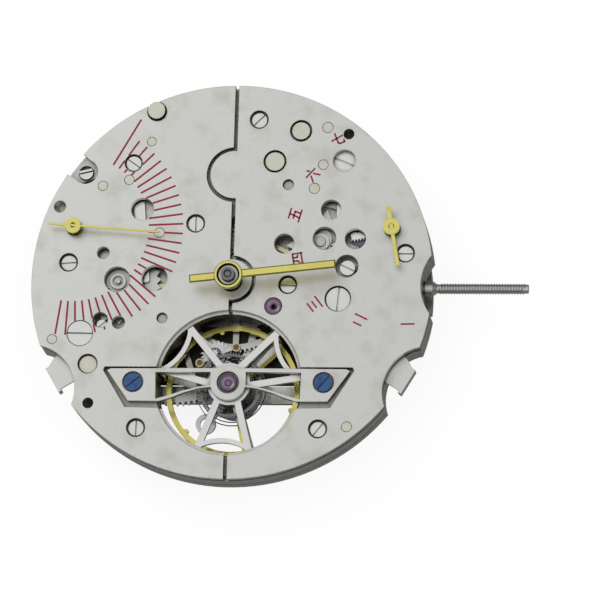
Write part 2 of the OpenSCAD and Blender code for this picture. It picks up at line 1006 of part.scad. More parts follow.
module day_drive() {
    color([0.72, 0.70, 0.60])
        drive24(day24_axis, day24_ph, 1.72, 177);
}

module date_star() {
    color([0.80, 0.80, 0.78])
        at(date_axis)
            difference() {
                union() {
                    slab(z_star)
                        polygon(star(date_teeth, date_star_r, date_star_r - 0.36, 4.87));
                    slab([z_star[1] - eps, z_rack[1]])
                        polygon(snail(date_pivot, date_axis, date_low, date_turn, date_span,
                                      date_span * date_at_rest, 90));
                    rod(0.65, z_rack[0], -0.62);
                }
                rod(0.24, -2, 0);
                rod(0.46, -0.80, 0);
            }
}

module day_star() {
    color([0.80, 0.80, 0.78])
        at(day_axis)
            difference() {
                union() {
                    slab(z_star)
                        polygon(star(day_teeth, day_star_r, 1.75, 184));
                    slab([z_star[1] - eps, z_rack[1]])
                        polygon(snail(day_pivot, day_axis, day_low, day_turn, day_span, 0, 72));
                    rod(0.72, z_rack[0], -0.66);
                }
                rod(0.42, -2, 0);
            }
}

// a rack: toothed sector, two arms and a feeler whose nose rides the snail
module rack(pivot, hub, zr, tip, a0, a1, a2) {
    toward = dir(pivot, hub);
    reach = norm(tip - pivot);
    away = dir(pivot, tip);
    at(pivot)
        difference() {
            union() {
                slab(z_rack) {
                    intersection() {
                        difference() {
                            polygon(teeth(zr, rack_m, toward + 180 / zr));
                            circle(pitch_r(zr, rack_m) - 0.62);
                        }
                        polygon(wedge(12, a0, a1));
                    }
                    bar(origin, pol(pitch_r(zr, rack_m) - 0.4, a2), 1.1, 0.5);
                    bar(origin, pol(pitch_r(zr, rack_m) - 0.4, a1 - 1.8), 1.1, 0.45);
                    circle(1.15);
                    bar(origin, pol(reach - 0.17, away + 32 / reach), 1.2, 0.42);
                    polygon([pol(reach - 0.34, away + 29 / reach), pol(reach - 0.05, away),
                             pol(reach + 0.05, away), pol(reach + 0.04, away + 29 / reach)]);
                    translate(pol(reach, away))
                        circle(nose);
                }
            }
            rod(0.43, -3, 1);
        }
}

module date_rack() {
    color([0.82, 0.82, 0.80])
        rack(date_pivot, date_hub, date_rack_z, date_tip,
             dir(date_pivot, date_hub) - date_turn * (1 - date_at_rest) - 2.4,
             dir(date_pivot, date_hub) + date_turn * date_at_rest + 2.4,
             dir(date_pivot, date_hub) - date_turn * (1 - date_at_rest) - 0.4);
}

module day_rack() {
    color([0.82, 0.82, 0.80])
        rack(day_pivot, day_hub, day_rack_z, day_tip,
             -84, dir(day_pivot, day_hub) + 2.4, -82);
}

// a small hand on its pinion
module hand_arbor(hub, ph, hub_r, hub_hole) {
    at(hub) {
        slab(z_rack)
            polygon(teeth(hand_pinion_z, rack_m, ph));
        rod(0.2, -1.7, z_rack[0] + eps);
        rod(0.34, z_rack[1] - eps, 0.75);
        difference() {
            rod(hub_r, 0.72, 1.0);
            rod(hub_hole, 0.85, 2);
        }
    }
}

module date_hand() {
    color([0.80, 0.74, 0.30]) {
        hand_arbor(date_hub, dir(date_pivot, date_hub) + 180, 0.65, 0.22);
        at(date_hub)
            rotate(-4.5)
                slab([0.80, 0.95]) {
                    polygon([[0, -0.10], [7.2, -0.065], [7.2, 0.065], [0, 0.10]]);
                    polygon([[0, -0.10], [-2.1, -0.075], [-2.1, 0.075], [0, 0.10]]);
                }
    }
}

module day_hand() {
    color([0.80, 0.74, 0.30]) {
        hand_arbor(day_hub, dir(day_pivot, day_hub) + 180, 0.68, 0.23);
        at(day_hub)
            rotate(-79.6)
                slab([0.80, 0.95]) {
                    polygon([[0, -0.16], [3.33, -0.155], [3.33, 0.155], [0, 0.16]]);
                    polygon([[0, -0.16], [-1.73, -0.205], [-1.73, 0.205], [0, 0.16]]);
                }
    }
}

// the gap between two teeth where a jumper's beak rests
date_gap = 4.87 - 180 / date_teeth * 11;
day_gap = 184 - 180;

module date_jumper() {
    beak = date_axis + pol(date_star_r - 0.20, date_gap);
    heel = date_axis + pol(date_star_r + 0.50, date_gap - 3);
    color([0.82, 0.82, 0.80])
        slab(z_star) {
            translate([-10.68, -3.51])
                circle(0.42);
            bar([-10.68, -3.72], [-9.1, -3.86], 0.28, 0.22);
            bar([-9.1, -3.86], heel, 0.22, 0.22);
            bar(heel, beak, 0.36, 0.08);
        }
}

module day_jumper() {
    beak = day_axis + pol(2.36, day_gap);
    heel = day_axis + pol(3.25, day_gap - 2);
    color([0.82, 0.82, 0.80])
        slab(z_star)
            difference() {
                union() {
                    translate([9.62, 0.98])
                        circle(0.5);
                    bar([9.62, 0.98], [11.1, 2.0], 0.4, 0.24);
                    bar([11.1, 2.0], heel, 0.24, 0.26);
                    bar(heel, beak, 0.7, 0.12);
                }
                translate([9.44, 1.23])
                    circle(0.2);
            }
}

// pushers' levers, each with a flange bent down at the edge of the movement
corrector_tab = [[-13.4, -5.2], [-14.55, -6.35], [-14.92, -7.05], [-13.86, -8.90], [-12.75, -8.22], [-11.75, -6.6]];
corrector_flange = [[-14.92, -7.05], [-13.78, -9.02], [-14.02, -9.18], [-15.18, -7.22]];

module corrector(axis, beak, side) {
    difference() {
        union() {
            slab([-1.15, -0.95]) {
                translate(axis)
                    circle(1.05);
                bar(axis, beak, 1.3, 0.5);
                bar(axis, [side * 12.75, -6.0], 1.7, 1.9);
                one_side(side)
                    polygon(corrector_tab);
            }
            slab([-1.95, -0.95])
                one_side(side)
                    polygon(corrector_flange);
            slab([z_star[0], -0.95])
                translate(beak)
                    circle(0.2);
        }
        at(axis)
            rod(0.43, -3, 0);
    }
}

module one_side(side) {
    if (side > 0)
        mirror([1, 0])
            children();
    else
        children();
}

module date_corrector() {
    color([0.78, 0.78, 0.76])
        corrector(date_corrector_axis, date_axis + pol(3.80, dir(date_axis, date_corrector_axis)), -1);
}

module day_corrector() {
    color([0.78, 0.78, 0.76])
        corrector(day_corrector_axis, day_axis + pol(3.20, dir(day_axis, day_corrector_axis)), 1);
}

// keyless works, on the stem's axis
module along_stem(x0) {
    translate([x0, 0, stem_z])
        rotate([0, 90, 0])
            children();
}

module winding_stem() {
    color([0.78, 0.78, 0.76]) {
        along_stem(7.5)
            cylinder(r = 0.28, h = 2.6);
        translate([10.0, -0.28, stem_z - 0.28])
            cube([2.4, 0.56, 0.56]);
        along_stem(11.75)
            cylinder(r = 0.42, h = 0.72);
        along_stem(12.45)
            cylinder(r = 0.5, h = 0.72);
        along_stem(13.1)
            cylinder(r = 0.27, h = 0.7);
        along_stem(13.7)
            cylinder(r = 0.5, h = 1.95);
        along_stem(15.63)
            cylinder(r = 0.625, h = 0.69);
        along_stem(16.30)
            cylinder(r1 = 0.6, r2 = thread_r, h = 0.4);
        along_stem(16.69)
            cylinder(r = thread_r, h = stem_end - 16.69);
    }
}

// an end-toothed pinion that runs on the stem
module winding_pinion() {
    color([0.70, 0.70, 0.68])
        difference() {
            union() {
                along_stem(11.64)
                    linear_extrude(0.44)
                        intersection() {
                            polygon(teeth(10, wind_m, 0));
                            circle(1.10);
                        }
                along_stem(11.36)
                    cylinder(r = 0.78, h = 1.0);
            }
            along_stem(11)
                cylinder(r = 0.45, h = 2);
        }
}

module sliding_pinion() {
    color([0.70, 0.70, 0.68])
        difference() {
            union() {
                along_stem(9.97)
                    linear_extrude(0.26)
                        polygon(teeth(13, 0.12, 0));
                along_stem(10.2)
                    cylinder(r = 0.48, h = 0.5);
                along_stem(10.62)
                    cylinder(r = 0.86, h = 0.68);
            }
            translate([9, -0.31, stem_z - 0.31])
                cube([3, 0.62, 0.62]);
        }
}

module setting_lever() {
    color([0.80, 0.80, 0.78])
        difference() {
            union() {
                slab([-2.15, -1.95]) {
                    bar(setting_lever_axis, [13.4, -0.56], 1.5, 0.7);
                    translate(setting_lever_axis)
                        circle(0.85);
                }
                at([13.4, -0.56])
                    rod(0.2, -2.95, -1.95);
            }
            at(setting_lever_axis)
                rod(0.43, -3, 0);
        }
}

module yoke() {
    color([0.80, 0.80, 0.78])
        difference() {
            union() {
                slab([-2.15, -1.95]) {
                    bar(yoke_axis, [10.32, -1.5], 1.3, 0.6);
                    bar([10.32, -1.5], [10.4, -0.68], 0.4, 0.28);
                    translate(yoke_axis)
                        circle(0.8);
                }
                at([10.4, -0.68])
                    rod(0.15, -2.9, -1.95);
            }
            at(yoke_axis)
                rod(0.43, -3, 0);
        }
}

module setting_wheel() {
    color([0.72, 0.70, 0.60])
        at(setting_axis)
            slab(z_minute)
                difference() {
                    polygon(teeth(13, motion_m, setting_ph));
                    circle(0.28);
                }
}

module crown_wheel() {
    color([0.72, 0.72, 0.70])
        at(crown_axis)
            slab(z_ratchet)
                difference() {
                    polygon(teeth(crown_z, wind_m, crown_ph));
                    circle(0.83);
                }
}

module ratchet_wheel() {
    color([0.72, 0.72, 0.70])
        at(barrel_axis) {
            slab(z_ratchet)
                difference() {
                    polygon(teeth(ratchet_z, wind_m, ratchet_ph));
                    for (a = [0:60:300])
                        translate(pol(2.5, a))
                            circle(0.75);
                }
            rod(0.5, -5.2, -2.15);
        }
}

module barrel() {
    color([0.74, 0.72, 0.66])
        at(barrel_axis)
            difference() {
                union() {
                    rod(5.15, z_barrel[0], z_barrel[1]);
                    slab([-3.46, -3.16])
                        polygon(teeth(barrel_z, barrel_m, barrel_ph));
                }
                rod(0.53, -4, 0);
            }
}

module third_wheel() {
    color([0.74, 0.74, 0.72])
        at(third_axis) {
            slab(z_third)
                wheel(third_z, third_m, third_ph, 6.1, 0.9, 0, 5, 0.5);
            slab([z_third[1] - eps, -4.20])
                polygon(teeth(third_pinion_z, centre_m, third_pinion_ph));
            rod(0.17, -5.12, -2.65);
        }
}

// tourbillon cage: three pairs of arms, each pair tied by an inward arch
pair_mid = 26.8;

module arm_pair() {
    intersection() {
        circle(cage_r);
        union() {
            for (s = [-1, 1])
                bar([1.25, s * 0.78], [6.1, s * 2.32], cage_arm, cage_arm);
            intersection() {
                translate([8.75, 0])
                    ring(4.24, 3.86);
                polygon([[3, -2.3], [5.6, -2.35], [5.6, 2.35], [3, 2.3]]);
            }
        }
    }
}

module cage_arms() {
    for (k = [0:2])
        rotate(pair_mid + 120 * k)
            arm_pair();
}

// the tip of an arm, where a pillar stands
module pillar_foot(a, ri) {
    intersection() {
        ring(cage_r - 0.03, ri);
        rotate(a)
            translate([4, -0.27])
                square([3, 0.54]);
    }
}

pillars = [pair_mid + 21.3, pair_mid + 141.3, pair_mid + 261.3];

module cage_frame() {
    color([0.88, 0.88, 0.88])
        at(tb) {
            slab(z_frame)
                difference() {
                    union() {
                        cage_arms();
                        circle(1.75);
                    }
                    circle(0.80);
                }
            slab([z_base[1] - eps, z_frame[0] + eps])
                for (a = pillars)
                    pillar_foot(a, 5.6);
            slab([z_low_cock[0], z_frame[0] + eps])
                pillar_foot(pair_mid + 98.7, 5.6);
        }
}

module jewel_seat(r, a, ro, ri) {
    translate(pol(r, a))
        ring(ro, ri);
}

module cage_cock() {
    color([0.72, 0.72, 0.71])
        at(tb) {
            slab(z_cock)
                difference() {
                    union() {
                        circle(0.7);
                        for (a = pillars)
                            intersection() {
                                circle(5.62);
                                bar(origin, pol(5.8, a), 0.7, 0.36);
                            }
                        bar(origin, pol(escape_at, escape_dir), 0.62, 0.7);
                        translate(pol(escape_at, escape_dir))
                            circle(0.86);
                        intersection() {
                            circle(5.62);
                            bar(pol(escape_at, escape_dir), pol(5.8, pair_mid + 98.7), 0.7, 0.4);
                        }
                        bar(pol(escape_at, escape_dir), pol(3.27, 82.8), 0.3, 0.3);
                        bar(pol(escape_at, escape_dir), pol(3.20, 142.8), 0.3, 0.3);
                        translate(pol(3.27, 82.8))
                            circle(0.38);
                        translate(pol(3.20, 142.8))
                            circle(0.38);
                    }
                    translate(pol(escape_at, escape_dir))
                        circle(0.52);
                    translate(pol(3.27, 82.8))
                        circle(0.24);
                    translate(pol(3.20, 142.8))
                        circle(0.24);
                    translate(pol(fork_at, escape_dir))
                        circle(0.12);
                    circle(0.15);
                }
            // lower cock of the escape wheel and the fork
            slab(z_low_cock)
                difference() {
                    union() {
                        intersection() {
                            circle(5.62);
                            bar(pol(escape_at, escape_dir), pol(5.8, pair_mid + 98.7), 0.7, 0.4);
                        }
                        bar(pol(fork_at, escape_dir), pol(escape_at, escape_dir), 0.7, 0.9);
                    }
                    translate(pol(escape_at, escape_dir))
                        circle(0.12);
                    translate(pol(fork_at, escape_dir))
                        circle(0.12);
                }
            // stud that holds the outer end of the hairspring
            at(pol(3.28, -70.2))
                rod(0.24, z_spring[0], z_cock[0] + eps);
        }
}

module cage_base() {
    color([0.70, 0.70, 0.69])
        at(tb)
            difference() {
                union() {
                    slab(z_base) {
                        circle(1.30);
                        for (a = pillars)
                            intersection() {
                                circle(cage_r);
                                bar(origin, pol(6.2, a), 0.8, 0.5);
                            }
                        bar(origin, pol(3.45, -130), 0.6, 0.6);
                        jewel_seat(3.45, -130, 0.84, 0.47);
                    }
                    slab(z_cage_pinion)
                        polygon(teeth(cage_z, third_m, cage_ph));
                    rod(0.2, -5.2, z_cage_pinion[0] + eps);
                }
                at(pol(3.45, -130))
                    rod(0.47, -6, 0);
                rod(0.16, -4.08, 0);
            }
}

module cage_jewels() {
    color([0.60, 0.36, 0.60])
        at(tb) {
            at(pol(escape_at, escape_dir))
                difference() {
                    rod(0.52, -1.72, -1.56);
                    rod(0.13, -3, 0);
                }
            for (p = [pol(3.27, 82.8), pol(3.20, 142.8)])
                at(p)
                    difference() {
                        rod(0.24, -1.72, -1.48);
                        rod(0.08, -1.6, 0);
                    }
        }
}

module escape_wheel() {
    color([0.80, 0.80, 0.79])
        at(escape_axis) {
            slab([-2.12, -1.98])
                difference() {
                    union() {
                        difference() {
                            polygon(escape_teeth(20, 1.27, 1.02));
                            circle(0.88);
                        }
                        circle(0.28);
                        spokes(4, 20, 0.2, 0.95, 0.12);
                    }
                }
            slab([-1.42, -1.08])
                polygon(teeth(escape_pinion_z, fixed_m, escape_pinion_ph));
            rod(0.10, -2.5, -1.42);
        }
}

// club teeth that lean the way the wheel turns
function escape_teeth(z, tip, root) =
    [for (i = [0:z - 1]) each [
        pol(root, 360 / z * i), pol(tip - 0.03, 360 / z * (i + 0.52)),
        pol(tip, 360 / z * (i + 0.66)), pol(root, 360 / z * (i + 0.72))]];

module pallet_fork() {
    reach = fork_at - 0.36;
    color([0.80, 0.80, 0.79])
        at(fork_axis)
            rotate(escape_dir) {
                union() {
                    slab(z_fork) {
                        circle(0.26);
                        // lever with its notch, toward the balance
                        bar([0, 0], [-reach + 0.3, 0], 0.26, 0.2);
                        bar([-reach + 0.3, 0], [-reach, 0.17], 0.16, 0.10);
                        bar([-reach + 0.3, 0], [-reach, -0.17], 0.16, 0.10);
                        // pallet arms, round the escape wheel
                        for (s = [-1, 1]) {
                            bar([0, 0], [0.12, s * 0.82], 0.24, 0.18);
                            bar([0.12, s * 0.82], [0.42, s * 0.80], 0.18, 0.14);
                        }
                    }
                }
                rod(0.10, -2.5, -1.5);
            }
}

module balance() {
    color([0.86, 0.80, 0.36])
        at(tb) {
            slab(z_rim)
                ring(balance_r, balance_r - 0.42);
            slab([-3.62, -3.42]) {
                circle(0.72);
                spokes(3, 42, 0.6, balance_r - 0.3, 0.32);
            }
            for (k = [0:2])
                rotate(102 + 120 * k)
                    translate([balance_r - 0.46, 0, z_rim[0] + 0.08])
                        cylinder(r = 0.2, h = z_rim[1] - z_rim[0] - 0.16);
        }
    color([0.70, 0.70, 0.70])
        at(tb) {
            rod(0.12, -4.02, -1.5);
            rod(0.2, -3.5, -2.3);
            rod(0.36, -3.02, -2.80);
            rod(0.55, z_roller[0], z_roller[1]);
            at(pol(0.42, escape_dir))
                rod(0.06, z_roller[1] - eps, -2.16);
        }
}

// one flat spiral strip, from the collet out to the stud
function spiral_r(t) = 0.40 + (spring_r - 0.40) * t;
function spiral_side(off, n) =
    [for (i = [0:n]) pol(spiral_r(i / n) + off, -70.2 - 360 * spring_turns * (1 - i / n))];

module hairspring() {
    n = spring_turns * 30;
    far = spiral_side(0.035, n);
    near = spiral_side(-0.035, n);
    color([0.22, 0.24, 0.30])
        at(tb)
            slab(z_spring)
                polygon(concat(far, [for (i = [n:-1:0]) near[i]]));
}

// winding rotor
module rotor() {
    color([0.78, 0.78, 0.76]) {
        difference() {
            union() {
                slab(z_rotor)
                    difference() {
                        union() {
                            intersection() {
                                circle(12.75);
                                polygon(wedge(30, 90 - rotor_half, 90 + rotor_half));
                            }
                            circle(2.4);
                        }
                        // three windows between the rotor's arms
                        for (a = [50, 90, 130])
                            rotate(a)
                                intersection() {
                                    ring(11.2, 4.6);
                                    polygon(wedge(20, -15.5, 15.5));
                                }
                    }
                slab([z_rotor[1] - eps, z_reverse[1]])
                    polygon(teeth(14, 0.14, rotor_pinion_ph));
            }
            rod(0.53, -8, 0);
        }
    }
}

module rotor_weight() {
    color([0.72, 0.70, 0.64])
        intersection() {
            slab([rim_low, rim_high])
                polygon(wedge(40, 90 - rotor_half, 90 + rotor_half));
            difference() {
                rod(rotor_r, rim_low, rim_high);
                rod(12.75, rim_low - 1, rim_high + 1);
                // the weight is stepped, to clear the bridges
                rod(15.35, -5.80, rim_high + 1);
            }
        }
}

module reverser_wheel() {
    color([0.66, 0.62, 0.50])
        at(reverser_axis)
            slab(z_reverse)
                difference() {
                    polygon(teeth(40, 0.14, reverser_ph));
                    circle(0.23);
                    for (a = [0:72:288])
                        translate(pol(1.6, a))
                            circle(0.5);
                }
}

module reverser_pinion() {
    color([0.70, 0.70, 0.68])
        at(reverser_axis) {
            slab(z_reduce)
                polygon(teeth(7, 0.14, reverser_pinion_ph));
            rod(0.2, -6.15, -5.12);
        }
}

module reduction_wheel() {
    color([0.66, 0.62, 0.50])
        at(reduction_axis) {
            slab(z_reduce)
                wheel(49, 0.14, reduction_ph, 2.75, 0.7, 0, 4, 0.4);
            slab(z_ratchet)
                polygon(teeth(8, wind_m, reduction_pinion_ph));
            rod(0.2, -5.8, z_ratchet[0] + eps);
        }
}

main_plate();
date_plate();
day_plate();
wing_bridge();
fixed_wheel();
plate_screws();
blue_screws();
plate_studs();
plate_jewels();
barrel_bridge();
train_bridge();
tourbillon_bridge();
auto_bridge();
bridge_screws();
rotor_screw();
cannon_pinion();
centre_wheel();
minute_wheel();
setting_idler();
hour_wheel();
hour_hand();
date_drive();
day_drive();
date_star();
date_rack();
date_hand();
day_star();
day_rack();
day_hand();
date_jumper();
day_jumper();
date_corrector();
day_corrector();
winding_stem();
winding_pinion();
sliding_pinion();
setting_lever();
yoke();
setting_wheel();
crown_wheel();
ratchet_wheel();
barrel();
third_wheel();
cage_frame();
cage_cock();
cage_base();
cage_jewels();
escape_wheel();
pallet_fork();
balance();
hairspring();
rotor();
rotor_weight();
reverser_wheel();
reverser_pinion();
reduction_wheel();
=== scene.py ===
"""Looks of an automatic watch movement with a tourbillon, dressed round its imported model.

Lengths in this file are in millimetres and angles in degrees, as a movement drawing has them.
They become metres when a piece is finished. The movement lies dial side up, with its centre at
the origin and the winding stem along +X.
"""

from __future__ import annotations

import logging
import math
from dataclasses import dataclass, field
from enum import Enum
from typing import Sequence

import bmesh
import bpy
from mathutils import Matrix, Vector

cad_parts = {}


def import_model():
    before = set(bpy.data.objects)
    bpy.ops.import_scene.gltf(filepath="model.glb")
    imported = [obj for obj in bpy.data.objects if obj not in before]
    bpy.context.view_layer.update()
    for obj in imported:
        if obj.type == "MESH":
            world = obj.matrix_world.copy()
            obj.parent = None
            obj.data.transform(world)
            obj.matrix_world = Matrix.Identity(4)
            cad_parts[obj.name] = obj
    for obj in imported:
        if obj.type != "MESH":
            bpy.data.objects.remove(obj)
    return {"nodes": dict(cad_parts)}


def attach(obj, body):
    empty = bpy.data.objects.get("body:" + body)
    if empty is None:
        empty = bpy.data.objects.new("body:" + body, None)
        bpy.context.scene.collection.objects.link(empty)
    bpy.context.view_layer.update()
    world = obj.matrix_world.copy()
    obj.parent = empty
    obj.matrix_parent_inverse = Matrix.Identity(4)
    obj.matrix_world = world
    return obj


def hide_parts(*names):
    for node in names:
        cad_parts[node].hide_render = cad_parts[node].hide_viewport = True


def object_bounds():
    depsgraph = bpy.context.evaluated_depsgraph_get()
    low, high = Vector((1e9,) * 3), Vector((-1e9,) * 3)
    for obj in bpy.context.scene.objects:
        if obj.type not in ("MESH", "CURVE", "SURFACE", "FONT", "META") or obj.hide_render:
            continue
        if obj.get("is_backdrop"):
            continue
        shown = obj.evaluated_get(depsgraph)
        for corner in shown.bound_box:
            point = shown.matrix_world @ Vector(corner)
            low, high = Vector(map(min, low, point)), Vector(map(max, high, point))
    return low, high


MM = 0.001
MICRON = 1e-6
MERGE_GAP = 1e-5
CAGE_AXIS = (0.0, -8.5)
Point = tuple[float, float]
Colour = tuple[float, float, float]
LOG = logging.getLogger("movement")


def linear(red: int, green: int, blue: int) -> Colour:
    """Turns a colour as a screen shows it into the linear one that a shader takes.

    Args:
        red: red, from 0 to 255.
        green: green, from 0 to 255.
        blue: blue, from 0 to 255.

    Returns:
        The three linear values.
    """
    shares = [value / 255 for value in (red, green, blue)]
    return tuple(s / 12.92 if s <= 0.04045 else ((s + 0.055) / 1.055) ** 2.4 for s in shares)


def polar(radius: float, angle: float, centre: Point = (0.0, 0.0)) -> Point:
    """Gives the point at a radius and an angle from a centre.

    Args:
        radius: distance from the centre.
        angle: direction, anticlockwise from +X.
        centre: where the distance is measured from.

    Returns:
        The point.
    """
    turn = math.radians(angle)
    return centre[0] + radius * math.cos(turn), centre[1] + radius * math.sin(turn)


class Mark(Enum):
    """What the finishing tool leaves on a metal surface."""

    SATIN = "satin"
    TURNED = "turned"
    STRIPED = "striped"
    PEARLED = "pearled"
    POLISHED = "polished"


class NodeDesk:
    """Places shader nodes in one tree and joins them."""

    def __init__(self, tree: bpy.types.NodeTree) -> None:
        """Starts with the tree's nodes cleared away.

        Args:
            tree: the tree that the nodes go into.
        """
        self.tree = tree
        tree.nodes.clear()

    def add(self, kind: str, settings: dict | None = None, **inputs: object) -> bpy.types.Node:
        """Adds one node.

        Args:
            kind: the node's type name.
            settings: attributes of the node itself.
            inputs: values or sockets for its inputs, named with _ for a space.

        Returns:
            The node.
        """
        node = self.tree.nodes.new(kind)
        for name, value in (settings or {}).items():
            setattr(node, name, value)
        for name, value in inputs.items():
            self.feed(node.inputs[name.replace("_", " ")], value)
        return node

    def feed(self, socket: bpy.types.NodeSocket, value: object) -> None:
        """Links a socket to an input, or sets the input's own value.

        Args:
            socket: the input.
            value: the socket that feeds it, or its own value.
        """
        if isinstance(value, bpy.types.NodeSocket):
            self.tree.links.new(value, socket)
        else:
            socket.default_value = value

    def math(self, operation: str, *terms: object, clamp: bool = False) -> bpy.types.NodeSocket:
        """Adds a Math node.

        Args:
            operation: what the node works out.
            terms: its one to three values or sockets.
            clamp: whether the result is kept between 0 and 1.

        Returns:
            The result's socket.
        """
        node = self.add("ShaderNodeMath", {"operation": operation, "use_clamp": clamp})
        for socket, term in zip(node.inputs, terms):
            self.feed(socket, term)
        return node.outputs[0]

    def vector(self, operation: str, *terms: object, result: str = "Vector") -> bpy.types.NodeSocket:
        """Adds a Vector Math node.

        Args:
            operation: what the node works out.
            terms: its vectors or sockets.
            result: the output that is wanted.

        Returns:
            The result's socket.
        """
        node = self.add("ShaderNodeVectorMath", {"operation": operation})
        for socket, term in zip(node.inputs, terms):
            self.feed(socket, term)
        return node.outputs[result]

    def mix(self, share: object, first: object, second: object) -> bpy.types.NodeSocket:
        """Mixes two colours.

        Args:
            share: how much of the second colour there is.
            first: the first colour, or its socket.
            second: the second colour, or its socket.

        Returns:
            The mixed colour's socket.
        """
        node = self.add("ShaderNodeMix", {"data_type": "RGBA"})
        self.feed(node.inputs[0], share)
        for socket, colour in ((node.inputs[6], first), (node.inputs[7], second)):
            self.feed(socket, colour if isinstance(colour, bpy.types.NodeSocket) else (*colour[:3], 1))
        return node.outputs[2]

    def spread(self, value: object, low: float, high: float, to_low: float, to_high: float
               ) -> bpy.types.NodeSocket:
        """Maps a value from one range to another, kept inside it.

        Args:
            value: the value or socket.
            low: the value that gives to_low.
            high: the value that gives to_high.
            to_low: the result at the low end.
            to_high: the result at the high end.

        Returns:
            The mapped value's socket.
        """
        node = self.add("ShaderNodeMapRange", {"clamp": True})
        for socket, number in zip(node.inputs, (value, low, high, to_low, to_high)):
            self.feed(socket, number)
        return node.outputs[0]

    def from_axis(self, place: bpy.types.NodeSocket) -> bpy.types.NodeSocket:
        """Gives the distance of a place from the upright axis through the origin.

        Args:
            place: the place's socket.

        Returns:
            The distance's socket.
        """
        flat = self.vector("MULTIPLY", place, (1.0, 1.0, 0.0))
        return self.vector("LENGTH", flat, result="Value")

    def blend_up(self, first: object, second: object, share: float) -> bpy.types.NodeSocket:
        """Adds a share of one value to another.

        Args:
            first: the value that is kept whole, or its socket.
            second: the value of which a share is added, or its socket.
            share: the share.

        Returns:
            The sum's socket.
        """
        return self.math("ADD", first, self.math("MULTIPLY", second, share))

    def close(self, shader: bpy.types.Node, kind: str = "ShaderNodeOutputMaterial") -> None:
        """Links a finished shader to the tree's output.

        Args:
            shader: the shader's node.
            kind: the output node's type name.
        """
        self.feed(self.add(kind).inputs["Surface"], shader.outputs[0])


def start_material(name: str) -> tuple[bpy.types.Material, NodeDesk, bpy.types.NodeSocket]:
    """Starts an empty material.

    Args:
        name: the material's name.

    Returns:
        The material, its desk and the socket of the object coordinates.
    """
    material = bpy.data.materials.new(name)
    material.use_nodes = True
    desk = NodeDesk(material.node_tree)
    return material, desk, desk.add("ShaderNodeTexCoord").outputs["Object"]


def centred_on(desk: NodeDesk, place: bpy.types.NodeSocket, centre: Point) -> bpy.types.NodeSocket:
    """Moves object coordinates so that a centre becomes their origin.

    Args:
        desk: where the node goes.
        place: object coordinates.
        centre: the point that becomes the origin.

    Returns:
        The moved coordinates' socket.
    """
    shift = (-centre[0] * MM, -centre[1] * MM, 0.0)
    return desk.add("ShaderNodeMapping", Vector=place, Location=shift).outputs[0]


